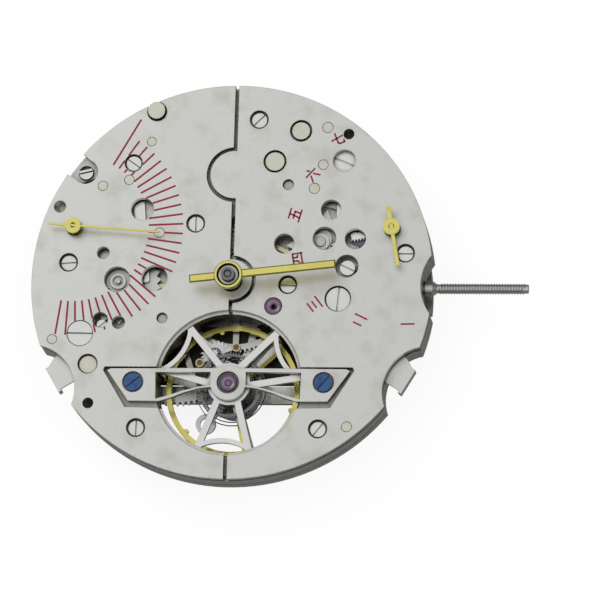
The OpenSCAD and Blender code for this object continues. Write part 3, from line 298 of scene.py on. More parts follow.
class Effects:
    """Node groups for the marks, stains, edges, painted edge highlights and painted shade that several
    finishes share.
    """

    kinds: dict[str, str] = {"Vector": "NodeSocketVector", "Normal": "NodeSocketVector",
                             "Clean": "NodeSocketColor", "Stained": "NodeSocketColor",
                             "Color": "NodeSocketColor"}
    samples: int = 4
    # Bevel closeness at which the painted edge highlight starts and where it is full.
    highlight_flat: float = 0.99
    highlight_bent: float = 0.80
    # How shut a place must be before its painted shade starts and where it is full.
    recess_shade_shut: float = 0.22
    recess_shade_open: float = 0.72
    patch_from: float = 0.50
    patch_full: float = 0.72
    spot_density: float = 2.3
    spot_edge: float = 0.16
    spot_core: float = 0.05
    spot_share: float = 0.6
    grain_stretch: float = 0.16
    grain_density: float = 1.7
    long_share: float = 0.6
    fine_share: float = 0.4
    stripe_grain: float = 9000.0
    stripe_bend: float = 4.0
    stripe_grain_share: float = 0.10
    pearl_rings: float = 44.0
    pearl_ring_share: float = 0.22
    pearl_dish: float = 1.2

    def __init__(self) -> None:
        """Builds every group once."""
        self.groups: dict[str, bpy.types.NodeTree] = {}
        self.build_edges()
        self.build_recess_shade()
        self.build_stain()
        self.build_satin()
        self.build_turned()
        self.build_stripes()
        self.build_pearls()

    def start(self, name: str, inputs: Sequence[str], outputs: Sequence[str]
              ) -> tuple[NodeDesk, bpy.types.NodeOutputs, bpy.types.NodeInputs]:
        """Starts a group.

        Args:
            name: the group's name.
            inputs: name of each input.
            outputs: name of each output.

        Returns:
            The desk, the sockets that the group is given and those that it hands out.
        """
        tree = bpy.data.node_groups.new(name, "ShaderNodeTree")
        desk = NodeDesk(tree)
        for titles, way in ((inputs, "INPUT"), (outputs, "OUTPUT")):
            for title in titles:
                kind = self.kinds.get(title, "NodeSocketFloat")
                tree.interface.new_socket(title, in_out=way, socket_type=kind)
        self.groups[name] = tree
        return desk, desk.add("NodeGroupInput").outputs, desk.add("NodeGroupOutput").inputs

    def use(self, desk: NodeDesk, name: str, **inputs: object) -> bpy.types.Node:
        """Puts a group into a material.

        Args:
            desk: where the group's node goes.
            name: the group's name.
            inputs: values or sockets for its inputs.

        Returns:
            The group's node.
        """
        return desk.add("ShaderNodeGroup", {"node_tree": self.groups[name]}, **inputs)

    def build_edges(self) -> None:
        """Rounds the shading of sharp edges, and masks them for a painted highlight."""
        desk, given, out = self.start("soft_edges", ["Radius"], ["Normal", "Highlight"])
        bevel = desk.add("ShaderNodeBevel", {"samples": self.samples}, Radius=given["Radius"])
        face = desk.add("ShaderNodeNewGeometry").outputs["True Normal"]
        close = desk.vector("DOT_PRODUCT", bevel.outputs[0], face, result="Value")
        desk.feed(out["Normal"], bevel.outputs[0])
        desk.feed(out["Highlight"], desk.spread(close, self.highlight_flat, self.highlight_bent, 0.0, 1.0))

    def build_recess_shade(self) -> None:
        """Masks gaps, holes and inner corners by ambient occlusion, for the painted shade that darkens
        them.
        """
        desk, given, out = self.start("corner_painted_shade", ["Reach"], ["Mask"])
        shut = desk.add("ShaderNodeAmbientOcclusion", {"samples": self.samples}, Distance=given["Reach"])
        desk.feed(out["Mask"], desk.spread(shut.outputs["AO"], self.recess_shade_shut, self.recess_shade_open, 1.0, 0.0))

    def build_stain(self) -> None:
        """Lays cloudy stains and small spots over a clean colour."""
        desk, given, out = self.start("stain", ["Vector", "Scale", "Amount", "Clean", "Stained"],
                                      ["Color", "Mask"])
        cloud = desk.add("ShaderNodeTexNoise", Vector=given["Vector"], Scale=given["Scale"],
                         Detail=3.0, Roughness=0.55)
        spots = desk.add("ShaderNodeTexVoronoi", Vector=given["Vector"],
                         Scale=desk.math("MULTIPLY", given["Scale"], self.spot_density))
        patch = desk.spread(cloud.outputs["Fac"], self.patch_from, self.patch_full, 0.0, 1.0)
        spot = desk.spread(spots.outputs["Distance"], self.spot_edge, self.spot_core, 0.0, self.spot_share)
        mask = desk.math("MULTIPLY", desk.math("MAXIMUM", patch, spot), given["Amount"], clamp=True)
        desk.feed(out["Mask"], mask)
        desk.feed(out["Color"], desk.mix(mask, given["Clean"], given["Stained"]))

    def build_satin(self) -> None:
        """Draws fine grain, run out along Y by the stretch."""
        desk, given, out = self.start("satin", ["Vector", "Scale"], ["Height"])
        stretched = desk.vector("MULTIPLY", given["Vector"], (1.0, self.grain_stretch, 1.0))
        long_grain = desk.add("ShaderNodeTexNoise", Vector=stretched, Scale=given["Scale"], Detail=2.0)
        fine = desk.add("ShaderNodeTexNoise", Vector=given["Vector"],
                        Scale=desk.math("MULTIPLY", given["Scale"], self.grain_density), Detail=1.0)
        coarse = desk.math("MULTIPLY", long_grain.outputs["Fac"], self.long_share)
        desk.feed(out["Height"], desk.blend_up(coarse, fine.outputs["Fac"], self.fine_share))

    def build_turned(self) -> None:
        """Draws the rings that a lathe leaves round the axis."""
        desk, given, out = self.start("turned", ["Vector", "Scale"], ["Height"])
        turns = desk.math("MULTIPLY", desk.from_axis(given["Vector"]), given["Scale"])
        rings = desk.add("ShaderNodeTexNoise", {"noise_dimensions": "1D"}, W=turns, Scale=1.0, Detail=2.0)
        desk.feed(out["Height"], rings.outputs["Fac"])

    def build_stripes(self) -> None:
        """Draws the broad shallow stripes of a decorated bridge, with grain across them."""
        desk, given, out = self.start("stripes", ["Vector", "Pitch"], ["Height"])
        axes = desk.add("ShaderNodeSeparateXYZ", Vector=given["Vector"])
        along = desk.math("DIVIDE", axes.outputs["X"], given["Pitch"])
        beside = desk.math("SUBTRACT", desk.math("FRACT", along), 0.5)
        hollow = desk.math("POWER", desk.math("MULTIPLY", beside, 2.0), 2.0)
        across = desk.math("MULTIPLY", axes.outputs["Y"], self.stripe_grain)
        bent = desk.blend_up(across, hollow, self.stripe_bend)
        grain = desk.add("ShaderNodeTexNoise", {"noise_dimensions": "1D"}, W=bent, Scale=1.0, Detail=1.0)
        desk.feed(out["Height"], desk.blend_up(hollow, grain.outputs["Fac"], self.stripe_grain_share))

    def build_pearls(self) -> None:
        """Draws rows of overlapping round brush marks."""
        desk, given, out = self.start("pearls", ["Vector", "Pitch"], ["Height"])
        scaled = desk.vector("SCALE", given["Vector"])
        desk.feed(scaled.node.inputs["Scale"], desk.math("DIVIDE", 1.0, given["Pitch"]))
        cell = desk.vector("SUBTRACT", desk.vector("FRACTION", scaled), (0.5, 0.5, 0.5))
        reach = desk.from_axis(cell)
        rings = desk.math("SINE", desk.math("MULTIPLY", reach, self.pearl_rings))
        ripple = desk.math("MULTIPLY", rings, self.pearl_ring_share)
        desk.feed(out["Height"], desk.blend_up(ripple, reach, self.pearl_dish))


@dataclass(frozen=True)
class MetalFinish:
    """One metal surface: colour, gloss, tool marks, stains, edges, painted highlights and painted shade."""

    slot: str
    colour: Colour
    roughness: float
    mark: Mark
    depth_um: float = 1.0
    pitch: float = 0.10
    stain: Colour = (0.36, 0.32, 0.20)
    stain_amount: float = 0.10
    stain_size: float = 3.0
    edge: float = 0.03
    # Near-black painted shade laid into gaps, holes and inner corners, within the reach.
    recess_shade: Colour = (0.018, 0.017, 0.014)
    recess_shade_amount: float = 0.92
    recess_shade_reach: float = 0.70
    # Colour inside a radius of the axis: painted shade in the main plate's recess, the grey centre of the
    # balance.
    heart_tint_and_shade_radius: float = 0.0
    heart_tint_and_shade: Colour = (0.50, 0.50, 0.50)
    # How much the painted highlight on sharp edges lightens the colour, and its share.
    highlight_gain: float = 1.12
    highlight_lift: float = 0.02
    highlight_share: float = 0.5
    mark_low: float = 0.25
    mark_high: float = 0.85
    gloss_low: float = 0.85
    gloss_high: float = 1.18
    stain_dulling: float = 0.10

    def build(self, effects: Effects, centre: Point) -> bpy.types.Material:
        """Makes the material, with its marks laid about a centre.

        Args:
            effects: the shared node groups.
            centre: the axis that turned marks run round.

        Returns:
            The material.
        """
        material, desk, place = start_material(f"{self.slot}_{self.mark.value}")
        centred = centred_on(desk, place, centre)
        stain = effects.use(desk, "stain", Vector=place, Scale=1.0 / (self.stain_size * MM),
                            Amount=self.stain_amount, Clean=(*self.colour, 1), Stained=(*self.stain, 1))
        # On the main plate this inner colour is painted shade in the cage recess; on the balance it is its
        # grey centre.
        if self.heart_tint_and_shade_radius:
            inner = desk.math("LESS_THAN", desk.from_axis(centred), self.heart_tint_and_shade_radius * MM)
            desk.feed(stain.inputs["Clean"], desk.mix(inner, self.colour, self.heart_tint_and_shade))
        edges = effects.use(desk, "soft_edges", Radius=self.edge * MM)
        # Sharp edges are lightened toward a paler colour: a painted highlight.
        highlight_colour = tuple(min(1.0, c * self.highlight_gain + self.highlight_lift) for c in self.colour)
        highlight_mask = desk.math("MULTIPLY", edges.outputs["Highlight"], self.highlight_share)
        shown = desk.mix(highlight_mask, stain.outputs["Color"], highlight_colour)
        # Gaps, holes and inner corners are darkened toward near black: painted shade.
        recess_shade = effects.use(desk, "corner_painted_shade", Reach=self.recess_shade_reach * MM)
        recess_shade_share = desk.math("MULTIPLY", recess_shade.outputs["Mask"], self.recess_shade_amount)
        height = self.height(desk, effects, place, centred)
        gloss = desk.spread(height, self.mark_low, self.mark_high,
                            self.roughness * self.gloss_low, self.roughness * self.gloss_high)
        dulled = desk.math("MULTIPLY", stain.outputs["Mask"], self.stain_dulling)
        bump = desk.add("ShaderNodeBump", Strength=1.0, Distance=self.depth_um * MICRON,
                        Height=height, Normal=edges.outputs["Normal"])
        desk.close(desk.add("ShaderNodeBsdfPrincipled", Metallic=1.0,
                            Base_Color=desk.mix(recess_shade_share, shown, self.recess_shade),
                            Roughness=desk.math("ADD", gloss, dulled, clamp=True),
                            Normal=bump.outputs[0]))
        return material

    def height(self, desk: NodeDesk, effects: Effects, place: bpy.types.NodeSocket,
               centred: bpy.types.NodeSocket) -> bpy.types.NodeSocket:
        """Gives the height of the tool's marks.

        Args:
            desk: where the nodes go.
            effects: the shared node groups.
            place: object coordinates.
            centred: object coordinates about the piece's axis.

        Returns:
            The height's socket.
        """
        step = self.pitch * MM
        if self.mark in (Mark.STRIPED, Mark.PEARLED):
            name = "stripes" if self.mark is Mark.STRIPED else "pearls"
            return effects.use(desk, name, Vector=place, Pitch=step).outputs["Height"]
        name, vector = ("turned", centred) if self.mark is Mark.TURNED else ("satin", place)
        return effects.use(desk, name, Vector=vector, Scale=1.0 / step).outputs["Height"]


@dataclass(frozen=True)
class StoneFinish:
    """Polished synthetic ruby, with a painted highlight ring round its oil cup."""

    slot: str = "ruby"
    colour: Colour = linear(100, 50, 104)
    deep: Colour = linear(66, 24, 68)
    cloud_scale: float = 2200.0
    cloud_amount: float = 0.8
    rim_highlight: Colour = linear(170, 128, 174)
    rim_from: float = 0.34
    rim_to: float = 0.46
    rim_fade: float = 0.04
    edge: float = 0.03
    roughness: float = 0.12
    refraction: float = 1.76
    coat: float = 0.6
    coat_roughness: float = 0.06

    def build(self, effects: Effects, centre: Point) -> bpy.types.Material:
        """Makes the stone, darker in cloudy patches inside.

        Args:
            effects: the shared node groups.
            centre: the middle of the painted highlight ring round the oil cup.

        Returns:
            The material.
        """
        material, desk, place = start_material(self.slot)
        radius = desk.from_axis(centred_on(desk, place, centre))
        rising = desk.spread(radius, (self.rim_from - self.rim_fade) * MM, self.rim_from * MM, 0.0, 1.0)
        falling = desk.spread(radius, self.rim_to * MM, (self.rim_to + self.rim_fade) * MM, 1.0, 0.0)
        stain = effects.use(desk, "stain", Vector=place, Scale=self.cloud_scale, Amount=self.cloud_amount,
                            Clean=(*self.colour, 1), Stained=(*self.deep, 1))
        edges = effects.use(desk, "soft_edges", Radius=self.edge * MM)
        # A pale ring round the oil cup: a painted highlight.
        ring = desk.math("MULTIPLY", rising, falling)
        desk.close(desk.add("ShaderNodeBsdfPrincipled", Roughness=self.roughness, IOR=self.refraction,
                            Coat_Weight=self.coat, Coat_Roughness=self.coat_roughness,
                            Base_Color=desk.mix(ring, stain.outputs["Color"], self.rim_highlight),
                            Normal=edges.outputs["Normal"]))
        return material


@dataclass(frozen=True)
class InkFinish:
    """Printed ink, a little uneven as a pad leaves it."""

    slot: str = "satin_nickel"
    colour: Colour = linear(190, 30, 64)
    thin: Colour = linear(204, 84, 108)
    cloud_scale: float = 3500.0
    cloud_amount: float = 0.55
    gloss: float = 0.42
    dull: float = 0.62

    def build(self, effects: Effects, centre: Point) -> bpy.types.Material:
        """Makes the ink.

        Args:
            effects: the shared node groups.
            centre: not used by ink.

        Returns:
            The material.
        """
        material, desk, place = start_material("dial_ink")
        stain = effects.use(desk, "stain", Vector=place, Scale=self.cloud_scale, Amount=self.cloud_amount,
                            Clean=(*self.colour, 1), Stained=(*self.thin, 1))
        roughness = desk.spread(stain.outputs["Mask"], 0.0, 1.0, self.gloss, self.dull)
        desk.close(desk.add("ShaderNodeBsdfPrincipled", Base_Color=stain.outputs["Color"],
                            Roughness=roughness))
        return material


Finish = MetalFinish | StoneFinish | InkFinish

SATIN_NICKEL = MetalFinish("satin_nickel", linear(207, 208, 204), 0.36, Mark.SATIN, 0.9, 0.12,
                           stain=linear(176, 172, 152), stain_amount=0.40, stain_size=2.3, edge=0.07)
# Inside 6.08 mm of the cage axis the main plate turns dark: painted shade on the walls of the cage recess.
BASE_NICKEL = MetalFinish("back_nickel", linear(190, 190, 183), 0.36, Mark.PEARLED, 3.0, 1.05,
                          stain=linear(150, 142, 112), stain_amount=0.25, edge=0.05,
                          heart_tint_and_shade_radius=6.08, heart_tint_and_shade=linear(74, 71, 64))
# Near-black colour of the plate deep behind the cage: painted shade.
SHADE_BLACK = MetalFinish("back_nickel", linear(58, 56, 50), 0.42, Mark.SATIN, 1.0, 0.15,
                          stain=linear(92, 84, 62), stain_amount=0.30, edge=0.05)
BRIDGE_NICKEL = MetalFinish("back_nickel", linear(205, 204, 198), 0.30, Mark.STRIPED, 16.0, 1.5,
                            stain_amount=0.06, edge=0.06)
POLISHED = MetalFinish("polished_steel", linear(218, 218, 216), 0.16, Mark.POLISHED, 0.2, 0.20,
                       stain_amount=0.08, edge=0.03)
BRUSHED = MetalFinish("brushed_steel", linear(196, 196, 194), 0.30, Mark.TURNED, 0.8, 0.07,
                      stain_amount=0.10, edge=0.02)
BLUED = MetalFinish("blued_steel", linear(70, 96, 140), 0.24, Mark.TURNED, 0.3, 0.08,
                    stain=linear(24, 34, 66), stain_amount=0.5, stain_size=0.9, edge=0.03)
GILT = MetalFinish("gilt", linear(218, 209, 120), 0.24, Mark.SATIN, 0.4, 0.10,
                   stain=linear(184, 168, 80), stain_amount=0.25, stain_size=1.6, edge=0.03)
GILT_BALANCE = MetalFinish("gilt", linear(216, 206, 118), 0.24, Mark.TURNED, 0.5, 0.06,
                           stain=linear(180, 150, 50), stain_amount=0.15, edge=0.03,
                           heart_tint_and_shade_radius=0.58, heart_tint_and_shade=linear(190, 190, 190))
PALE_BRASS = MetalFinish("pale_brass", linear(206, 196, 158), 0.30, Mark.TURNED, 0.8, 0.07,
                         stain=linear(150, 128, 80), stain_amount=0.20, edge=0.02)
DARK_STEEL = MetalFinish("dark_steel", linear(118, 118, 120), 0.24, Mark.TURNED, 0.5, 0.05,
                         stain=linear(70, 70, 76), stain_amount=0.3, edge=0.04)
SPRING_STEEL = MetalFinish("spring_steel", linear(98, 102, 116), 0.25, Mark.POLISHED, 0.2, 0.10,
                           stain_amount=0.05, edge=0.01)
STUD_STEEL = MetalFinish("polished_steel", linear(204, 203, 190), 0.24, Mark.TURNED, 0.5, 0.10,
                         stain=linear(176, 168, 132), stain_amount=0.35, stain_size=1.2, edge=0.05)
WEIGHT_METAL = MetalFinish("weight", linear(186, 182, 170), 0.30, Mark.TURNED, 1.2, 0.12,
                           stain=linear(140, 132, 108), stain_amount=0.15, edge=0.08)
RUBY = StoneFinish()
INK = InkFinish()


class Finisher:
    """Keeps one material for each finish and centre, and dresses objects with it."""

    def __init__(self) -> None:
        """Builds the shared effects."""
        self.effects = Effects()
        self.made: dict[tuple[Finish, Point], bpy.types.Material] = {}

    def dress(self, piece: bpy.types.Object, finish: Finish, centre: Point = (0.0, 0.0)) -> None:
        """Gives an object one material all over.

        Args:
            piece: the object.
            finish: the finish that it gets.
            centre: the axis of its turned marks.
        """
        key = (finish, centre)
        if key not in self.made:
            self.made[key] = finish.build(self.effects, centre)
        piece.data.materials.clear()
        piece.data.materials.append(self.made[key])


class Workpiece:
    """One new piece: bmesh shapes in millimetres, finished into an object at the origin."""

    def __init__(self, name: str, body: str) -> None:
        """Starts an empty piece that rides on a body.

        Args:
            name: the piece's name.
            body: the body's name.
        """
        self.name = name
        self.body = body
        self.bm = bmesh.new()

    def lathe(self, profile: Sequence[Point], centre: Point, steps: int = 48, closed: bool = True) -> None:
        """Spins a profile round an upright axis.

        Args:
            profile: radius and height of each corner.
            centre: where the axis stands.
            steps: facets of a full turn.
            closed: whether the last corner joins the first.
        """
        verts = [self.bm.verts.new((centre[0] + r, centre[1], z)) for r, z in profile]
        pairs = list(zip(verts, verts[1:])) + ([(verts[-1], verts[0])] if closed else [])
        edges = [self.bm.edges.new(pair) for pair in pairs]
        bmesh.ops.spin(self.bm, geom=verts + edges, cent=(*centre, 0.0), axis=(0.0, 0.0, 1.0),
                       angle=math.tau, steps=steps, use_merge=True)

    def shaft(self, profile: Sequence[Point], height: float, steps: int = 40) -> None:
        """Spins a profile round the stem's axis.

        Args:
            profile: place along X and radius of each corner.
            height: height of the axis.
            steps: facets of a full turn.
        """
        verts = [self.bm.verts.new((x, 0.0, height + r)) for x, r in profile]
        edges = [self.bm.edges.new(pair) for pair in zip(verts, verts[1:])]
        bmesh.ops.spin(self.bm, geom=verts + edges, cent=(0.0, 0.0, height), axis=(1.0, 0.0, 0.0),
                       angle=math.tau, steps=steps, use_merge=True)

    def prism(self, outline: Sequence[Point], low: float, high: float) -> list[bmesh.types.BMFace]:
        """Raises a flat outline into a plate.

        Args:
            outline: its corners, in order.
            low: height of the underside.
            high: height of the top.

        Returns:
            The top face, alone in a list.
        """
        face = self.bm.faces.new([self.bm.verts.new((x, y, low)) for x, y in outline])
        raised = bmesh.ops.extrude_face_region(self.bm, geom=[face])["geom"]
        bmesh.ops.translate(self.bm, vec=(0.0, 0.0, high - low),
                            verts=[v for v in raised if isinstance(v, bmesh.types.BMVert)])
        return [f for f in raised if isinstance(f, bmesh.types.BMFace)]

    def block(self, size: tuple[float, float, float], middle: tuple[float, float, float],
              turn: float) -> None:
        """Adds a straight block, turned about the vertical.

        Args:
            size: its length, width and height.
            middle: its middle.
            turn: the direction of its length.
        """
        place = (Matrix.Translation(middle) @ Matrix.Rotation(math.radians(turn), 4, "Z")
                 @ Matrix.Diagonal((*size, 1.0)))
        bmesh.ops.create_cube(self.bm, size=1.0, matrix=place)

    def finish(self, finisher: Finisher, finish: Finish, centre: Point = (0.0, 0.0),
               smooth: float = 32.0, replaces: Sequence[str] = ()) -> bpy.types.Object:
        """Turns the shapes into one object, dresses it and rides it on its body.

        Args:
            finisher: what holds the materials.
            finish: the finish.
            centre: the axis of its turned marks.
            smooth: edges flatter than this are shaded smooth.
            replaces: the CAD nodes that it stands for.

        Returns:
            The finished object.
        """
        bmesh.ops.remove_doubles(self.bm, verts=self.bm.verts, dist=MERGE_GAP)
        bmesh.ops.recalc_face_normals(self.bm, faces=self.bm.faces)
        bmesh.ops.scale(self.bm, vec=(MM, MM, MM), verts=self.bm.verts)
        mesh = bpy.data.meshes.new(self.name)
        self.bm.to_mesh(mesh)
        self.bm.free()
        mesh.shade_smooth()
        mesh.set_sharp_from_angle(angle=math.radians(smooth))
        piece = bpy.data.objects.new(self.name, mesh)
        bpy.context.scene.collection.objects.link(piece)
        finisher.dress(piece, finish, centre)
        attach(piece, self.body)
        if replaces:
            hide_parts(*replaces)
        LOG.info("%s: %d faces on %s", self.name, len(mesh.polygons), self.body)
        return piece


@dataclass
class DialPrint:
    """The date lines and weekday numerals printed on the dial-side plates."""

    date_centre: Point = (-13.10, 4.40)
    date_first: float = 60.6
    date_pitch: float = 5.287
    date_lines: int = 31
    inner: float = 6.15
    outer: float = 9.00
    long_outer: float = 10.60
    line_width: float = 0.155
    day_centre: Point = (13.10, 4.40)
    day_angles: tuple[float, ...] = (-79.8, -108.2, -134.3, -161.6, 171.8, 145.9, 121.9)
    day_radii: tuple[float, ...] = (8.1, 8.1, 8.9, 8.1, 8.1, 8.1, 8.9)
    glyph_first: float = 180.0
    glyph_turn: float = -26.4
    glyph_size: float = 1.12
    stroke: float = 0.14
    corner_share: float = 0.7
    film: float = 0.008
    holes: tuple[tuple[float, float, float], ...] = (
        (-3.09, 4.82, 0.80), (-13.48, 1.51, 0.80), (-7.43, -12.29, 0.80), (1.88, 13.62, 0.80),
        (14.21, 2.34, 0.80), (4.65, -0.32, 0.80), (7.44, -12.32, 0.80), (-12.32, -4.44, 1.10),
        (8.78, -1.48, 1.10), (9.01, 10.13, 0.96), (-8.40, 9.93, 0.76), (-6.96, 11.75, 0.40),
        (-8.71, 8.50, 0.43), (-10.88, 7.99, 0.43), (-6.05, 4.02, 0.44), (-14.60, -4.95, 0.41),
        (7.57, 12.95, 0.46), (7.28, 9.79, 0.43), (6.61, 7.78, 0.46), (-5.59, -3.14, 0.46),
        (4.45, 8.10, 0.47), (-11.58, -6.99, 0.84), (5.37, 12.66, 0.93), (3.29, 10.07, 0.97),
        (-6.61, 14.32, 0.84), (-12.37, 9.19, 1.04), (-14.38, 6.22, 0.52), (-7.53, 6.01, 0.97),
        (-10.64, 2.32, 0.54), (-9.41, 0.09, 1.09), (-6.33, 0.19, 1.09), (-10.68, -3.31, 0.66),
        (-9.17, -3.52, 0.56), (8.03, 6.00, 0.85), (4.26, 3.12, 0.85), (7.55, 3.58, 0.98),
        (10.09, 3.53, 0.88), (9.44, 1.23, 0.98), (-13.10, 4.42, 0.68), (13.10, 4.35, 0.68),
        (-11.43, -10.27, 0.46), (9.32, 12.38, 0.46), (3.51, -2.12, 0.73), (0.0, 0.0, 0.94),
        (0.0, -8.5, 6.06))
    glyphs: tuple[tuple[tuple[float, ...], ...], ...] = field(default=(
        ((-0.46, 0.0, 0.46, 0.02),),
        ((-0.30, 0.28, 0.30, 0.29), (-0.46, -0.32, 0.46, -0.31)),
        ((-0.36, 0.38, 0.36, 0.39), (-0.27, 0.02, 0.27, 0.03), (-0.46, -0.38, 0.46, -0.37)),
        ((-0.42, 0.34, -0.40, -0.36), (-0.42, 0.34, 0.42, 0.34), (0.42, 0.34, 0.40, -0.36),
         (-0.41, -0.29, 0.41, -0.29), (-0.12, 0.33, -0.15, 0.05), (-0.15, 0.05, -0.27, -0.10),
         (0.12, 0.33, 0.12, 0.02), (0.12, 0.02, 0.28, -0.03)),
        ((-0.37, 0.40, 0.37, 0.40), (-0.02, 0.40, -0.15, -0.37), (-0.28, 0.06, 0.24, 0.06),
         (0.24, 0.06, 0.20, -0.37), (-0.46, -0.38, 0.46, -0.38)),
        ((-0.05, 0.48, 0.05, 0.32), (-0.45, 0.17, 0.45, 0.17), (-0.14, -0.02, -0.36, -0.43),
         (0.13, -0.02, 0.38, -0.43)),
        ((-0.44, 0.00, 0.42, 0.14), (-0.06, 0.46, -0.05, -0.28), (-0.05, -0.28, 0.06, -0.38),
         (0.06, -0.38, 0.40, -0.37), (0.40, -0.37, 0.42, -0.20)),
    ))

    def build(self, finisher: Finisher) -> None:
        """Prints both scales.

        Args:
            finisher: what holds the materials.
        """
        self.print_lines(finisher)
        self.print_numerals(finisher)

    def solid_runs(self, start: Vector, end: Vector) -> list[tuple[Vector, Vector]]:
        """Cuts a stroke where it crosses a hole in the plates.

        Args:
            start: where the stroke starts.
            end: where it ends.

        Returns:
            The start and end of each part that lies on the plate.
        """
        length = (end - start).length
        way = (end - start) / length
        runs = [(0.0, length)]
        for x, y, radius in self.holes:
            to_hole = Vector((x, y)) - start
            along = to_hole.dot(way)
            beside = (to_hole - way * along).length
            if beside >= radius:
                continue
            reach = math.sqrt(radius ** 2 - beside ** 2)
            low, high = along - reach, along + reach
            runs = [part for a, b in runs for part in ((a, min(b, low)), (max(a, high), b))
                    if part[1] - part[0] > self.stroke / 2]
        return [(start + way * a, start + way * b) for a, b in runs]

    def stroke_on(self, piece: Workpiece, start: Vector, end: Vector, width: float, overlap: float) -> None:
        """Prints one stroke.

        Args:
            piece: the print that it belongs to.
            start: where the stroke starts.
            end: where it ends.
            width: its width.
            overlap: how far both ends run on, to close a corner.
        """
        for near, far in self.solid_runs(start, end):
            run, middle = far - near, (near + far) / 2
            piece.block((run.length + overlap, width, self.film), (middle.x, middle.y, self.film / 2),
                        math.degrees(math.atan2(run.y, run.x)))

    def print_lines(self, finisher: Finisher) -> None:
        """Prints the fan of date lines, the first one longer.

        Args:
            finisher: what holds the materials.
        """
        lines = Workpiece("date_lines", "frame")
        for index in range(self.date_lines):
            angle = self.date_first - self.date_pitch * index
            outer = self.long_outer if index == 0 else self.outer
            self.stroke_on(lines, Vector(polar(self.inner, angle, self.date_centre)),
                           Vector(polar(outer, angle, self.date_centre)), self.line_width, 0.0)
        lines.finish(finisher, INK)

    def print_numerals(self, finisher: Finisher) -> None:
        """Prints the numbers one to seven round the weekday hand.

        Args:
            finisher: what holds the materials.
        """
        numerals = Workpiece("weekday_numerals", "frame")
        for index, glyph in enumerate(self.glyphs):
            centre = Vector(polar(self.day_radii[index], self.day_angles[index], self.day_centre))
            turn = Matrix.Rotation(math.radians(self.glyph_first + self.glyph_turn * index), 2)
            for x0, y0, x1, y1 in glyph:
                start, end = Vector((x0, y0)) * self.glyph_size, Vector((x1, y1)) * self.glyph_size
                self.stroke_on(numerals, centre + turn @ start, centre + turn @ end, self.stroke,
                               self.stroke * self.corner_share)
        numerals.finish(finisher, INK)


@dataclass
class HourHand:
    """The gilt baton hour hand, bevelled along both sides, on its turned hub."""

    angle: float = 6.2
    tip: float = 8.8
    tail: float = 3.2
    half_width: float = 0.34
    low: float = 1.96
    high: float = 2.12
    side: float = 0.05
    ridge: float = 0.11
    hub_outer: float = 1.17
    hub_inner: float = 0.80
    hub_low: float = 1.90
    hub_high: float = 2.20
    hub_edge: float = 0.06
    cup_width: float = 0.14
    cup_depth: float = 0.16
    hub_steps: int = 72

    def build(self, finisher: Finisher) -> None:
        """Shapes the baton and the hub as one piece.

        Args:
            finisher: what holds the materials.
        """
        hand = Workpiece("hour_baton", "hour")
        root = self.hub_inner + self.hub_edge
        for near, far in ((root, self.tip), (-self.tail, -root)):
            outline = [(near, -self.half_width), (far, -self.half_width),
                       (far, self.half_width), (near, self.half_width)]
            top = hand.prism(outline, self.low, self.low + self.side)
            bmesh.ops.inset_region(hand.bm, faces=top, thickness=self.ridge, use_even_offset=True)
            bmesh.ops.translate(hand.bm, vec=(0.0, 0.0, self.high - self.low - self.side),
                                verts=list({v for f in top for v in f.verts}))
        bmesh.ops.rotate(hand.bm, cent=(0.0, 0.0, 0.0), verts=hand.bm.verts,
                         matrix=Matrix.Rotation(math.radians(self.angle), 3, "Z"))
        hand.lathe([(self.hub_inner, self.hub_low), (self.hub_outer, self.hub_low),
                    (self.hub_outer, self.hub_high - self.hub_edge),
                    (self.hub_outer - self.hub_edge, self.hub_high),
                    (self.hub_inner + self.cup_width, self.hub_high),
                    (self.hub_inner, self.hub_high - self.cup_depth)], (0.0, 0.0), self.hub_steps)
        hand.finish(finisher, GILT, replaces=["hour_hand"])


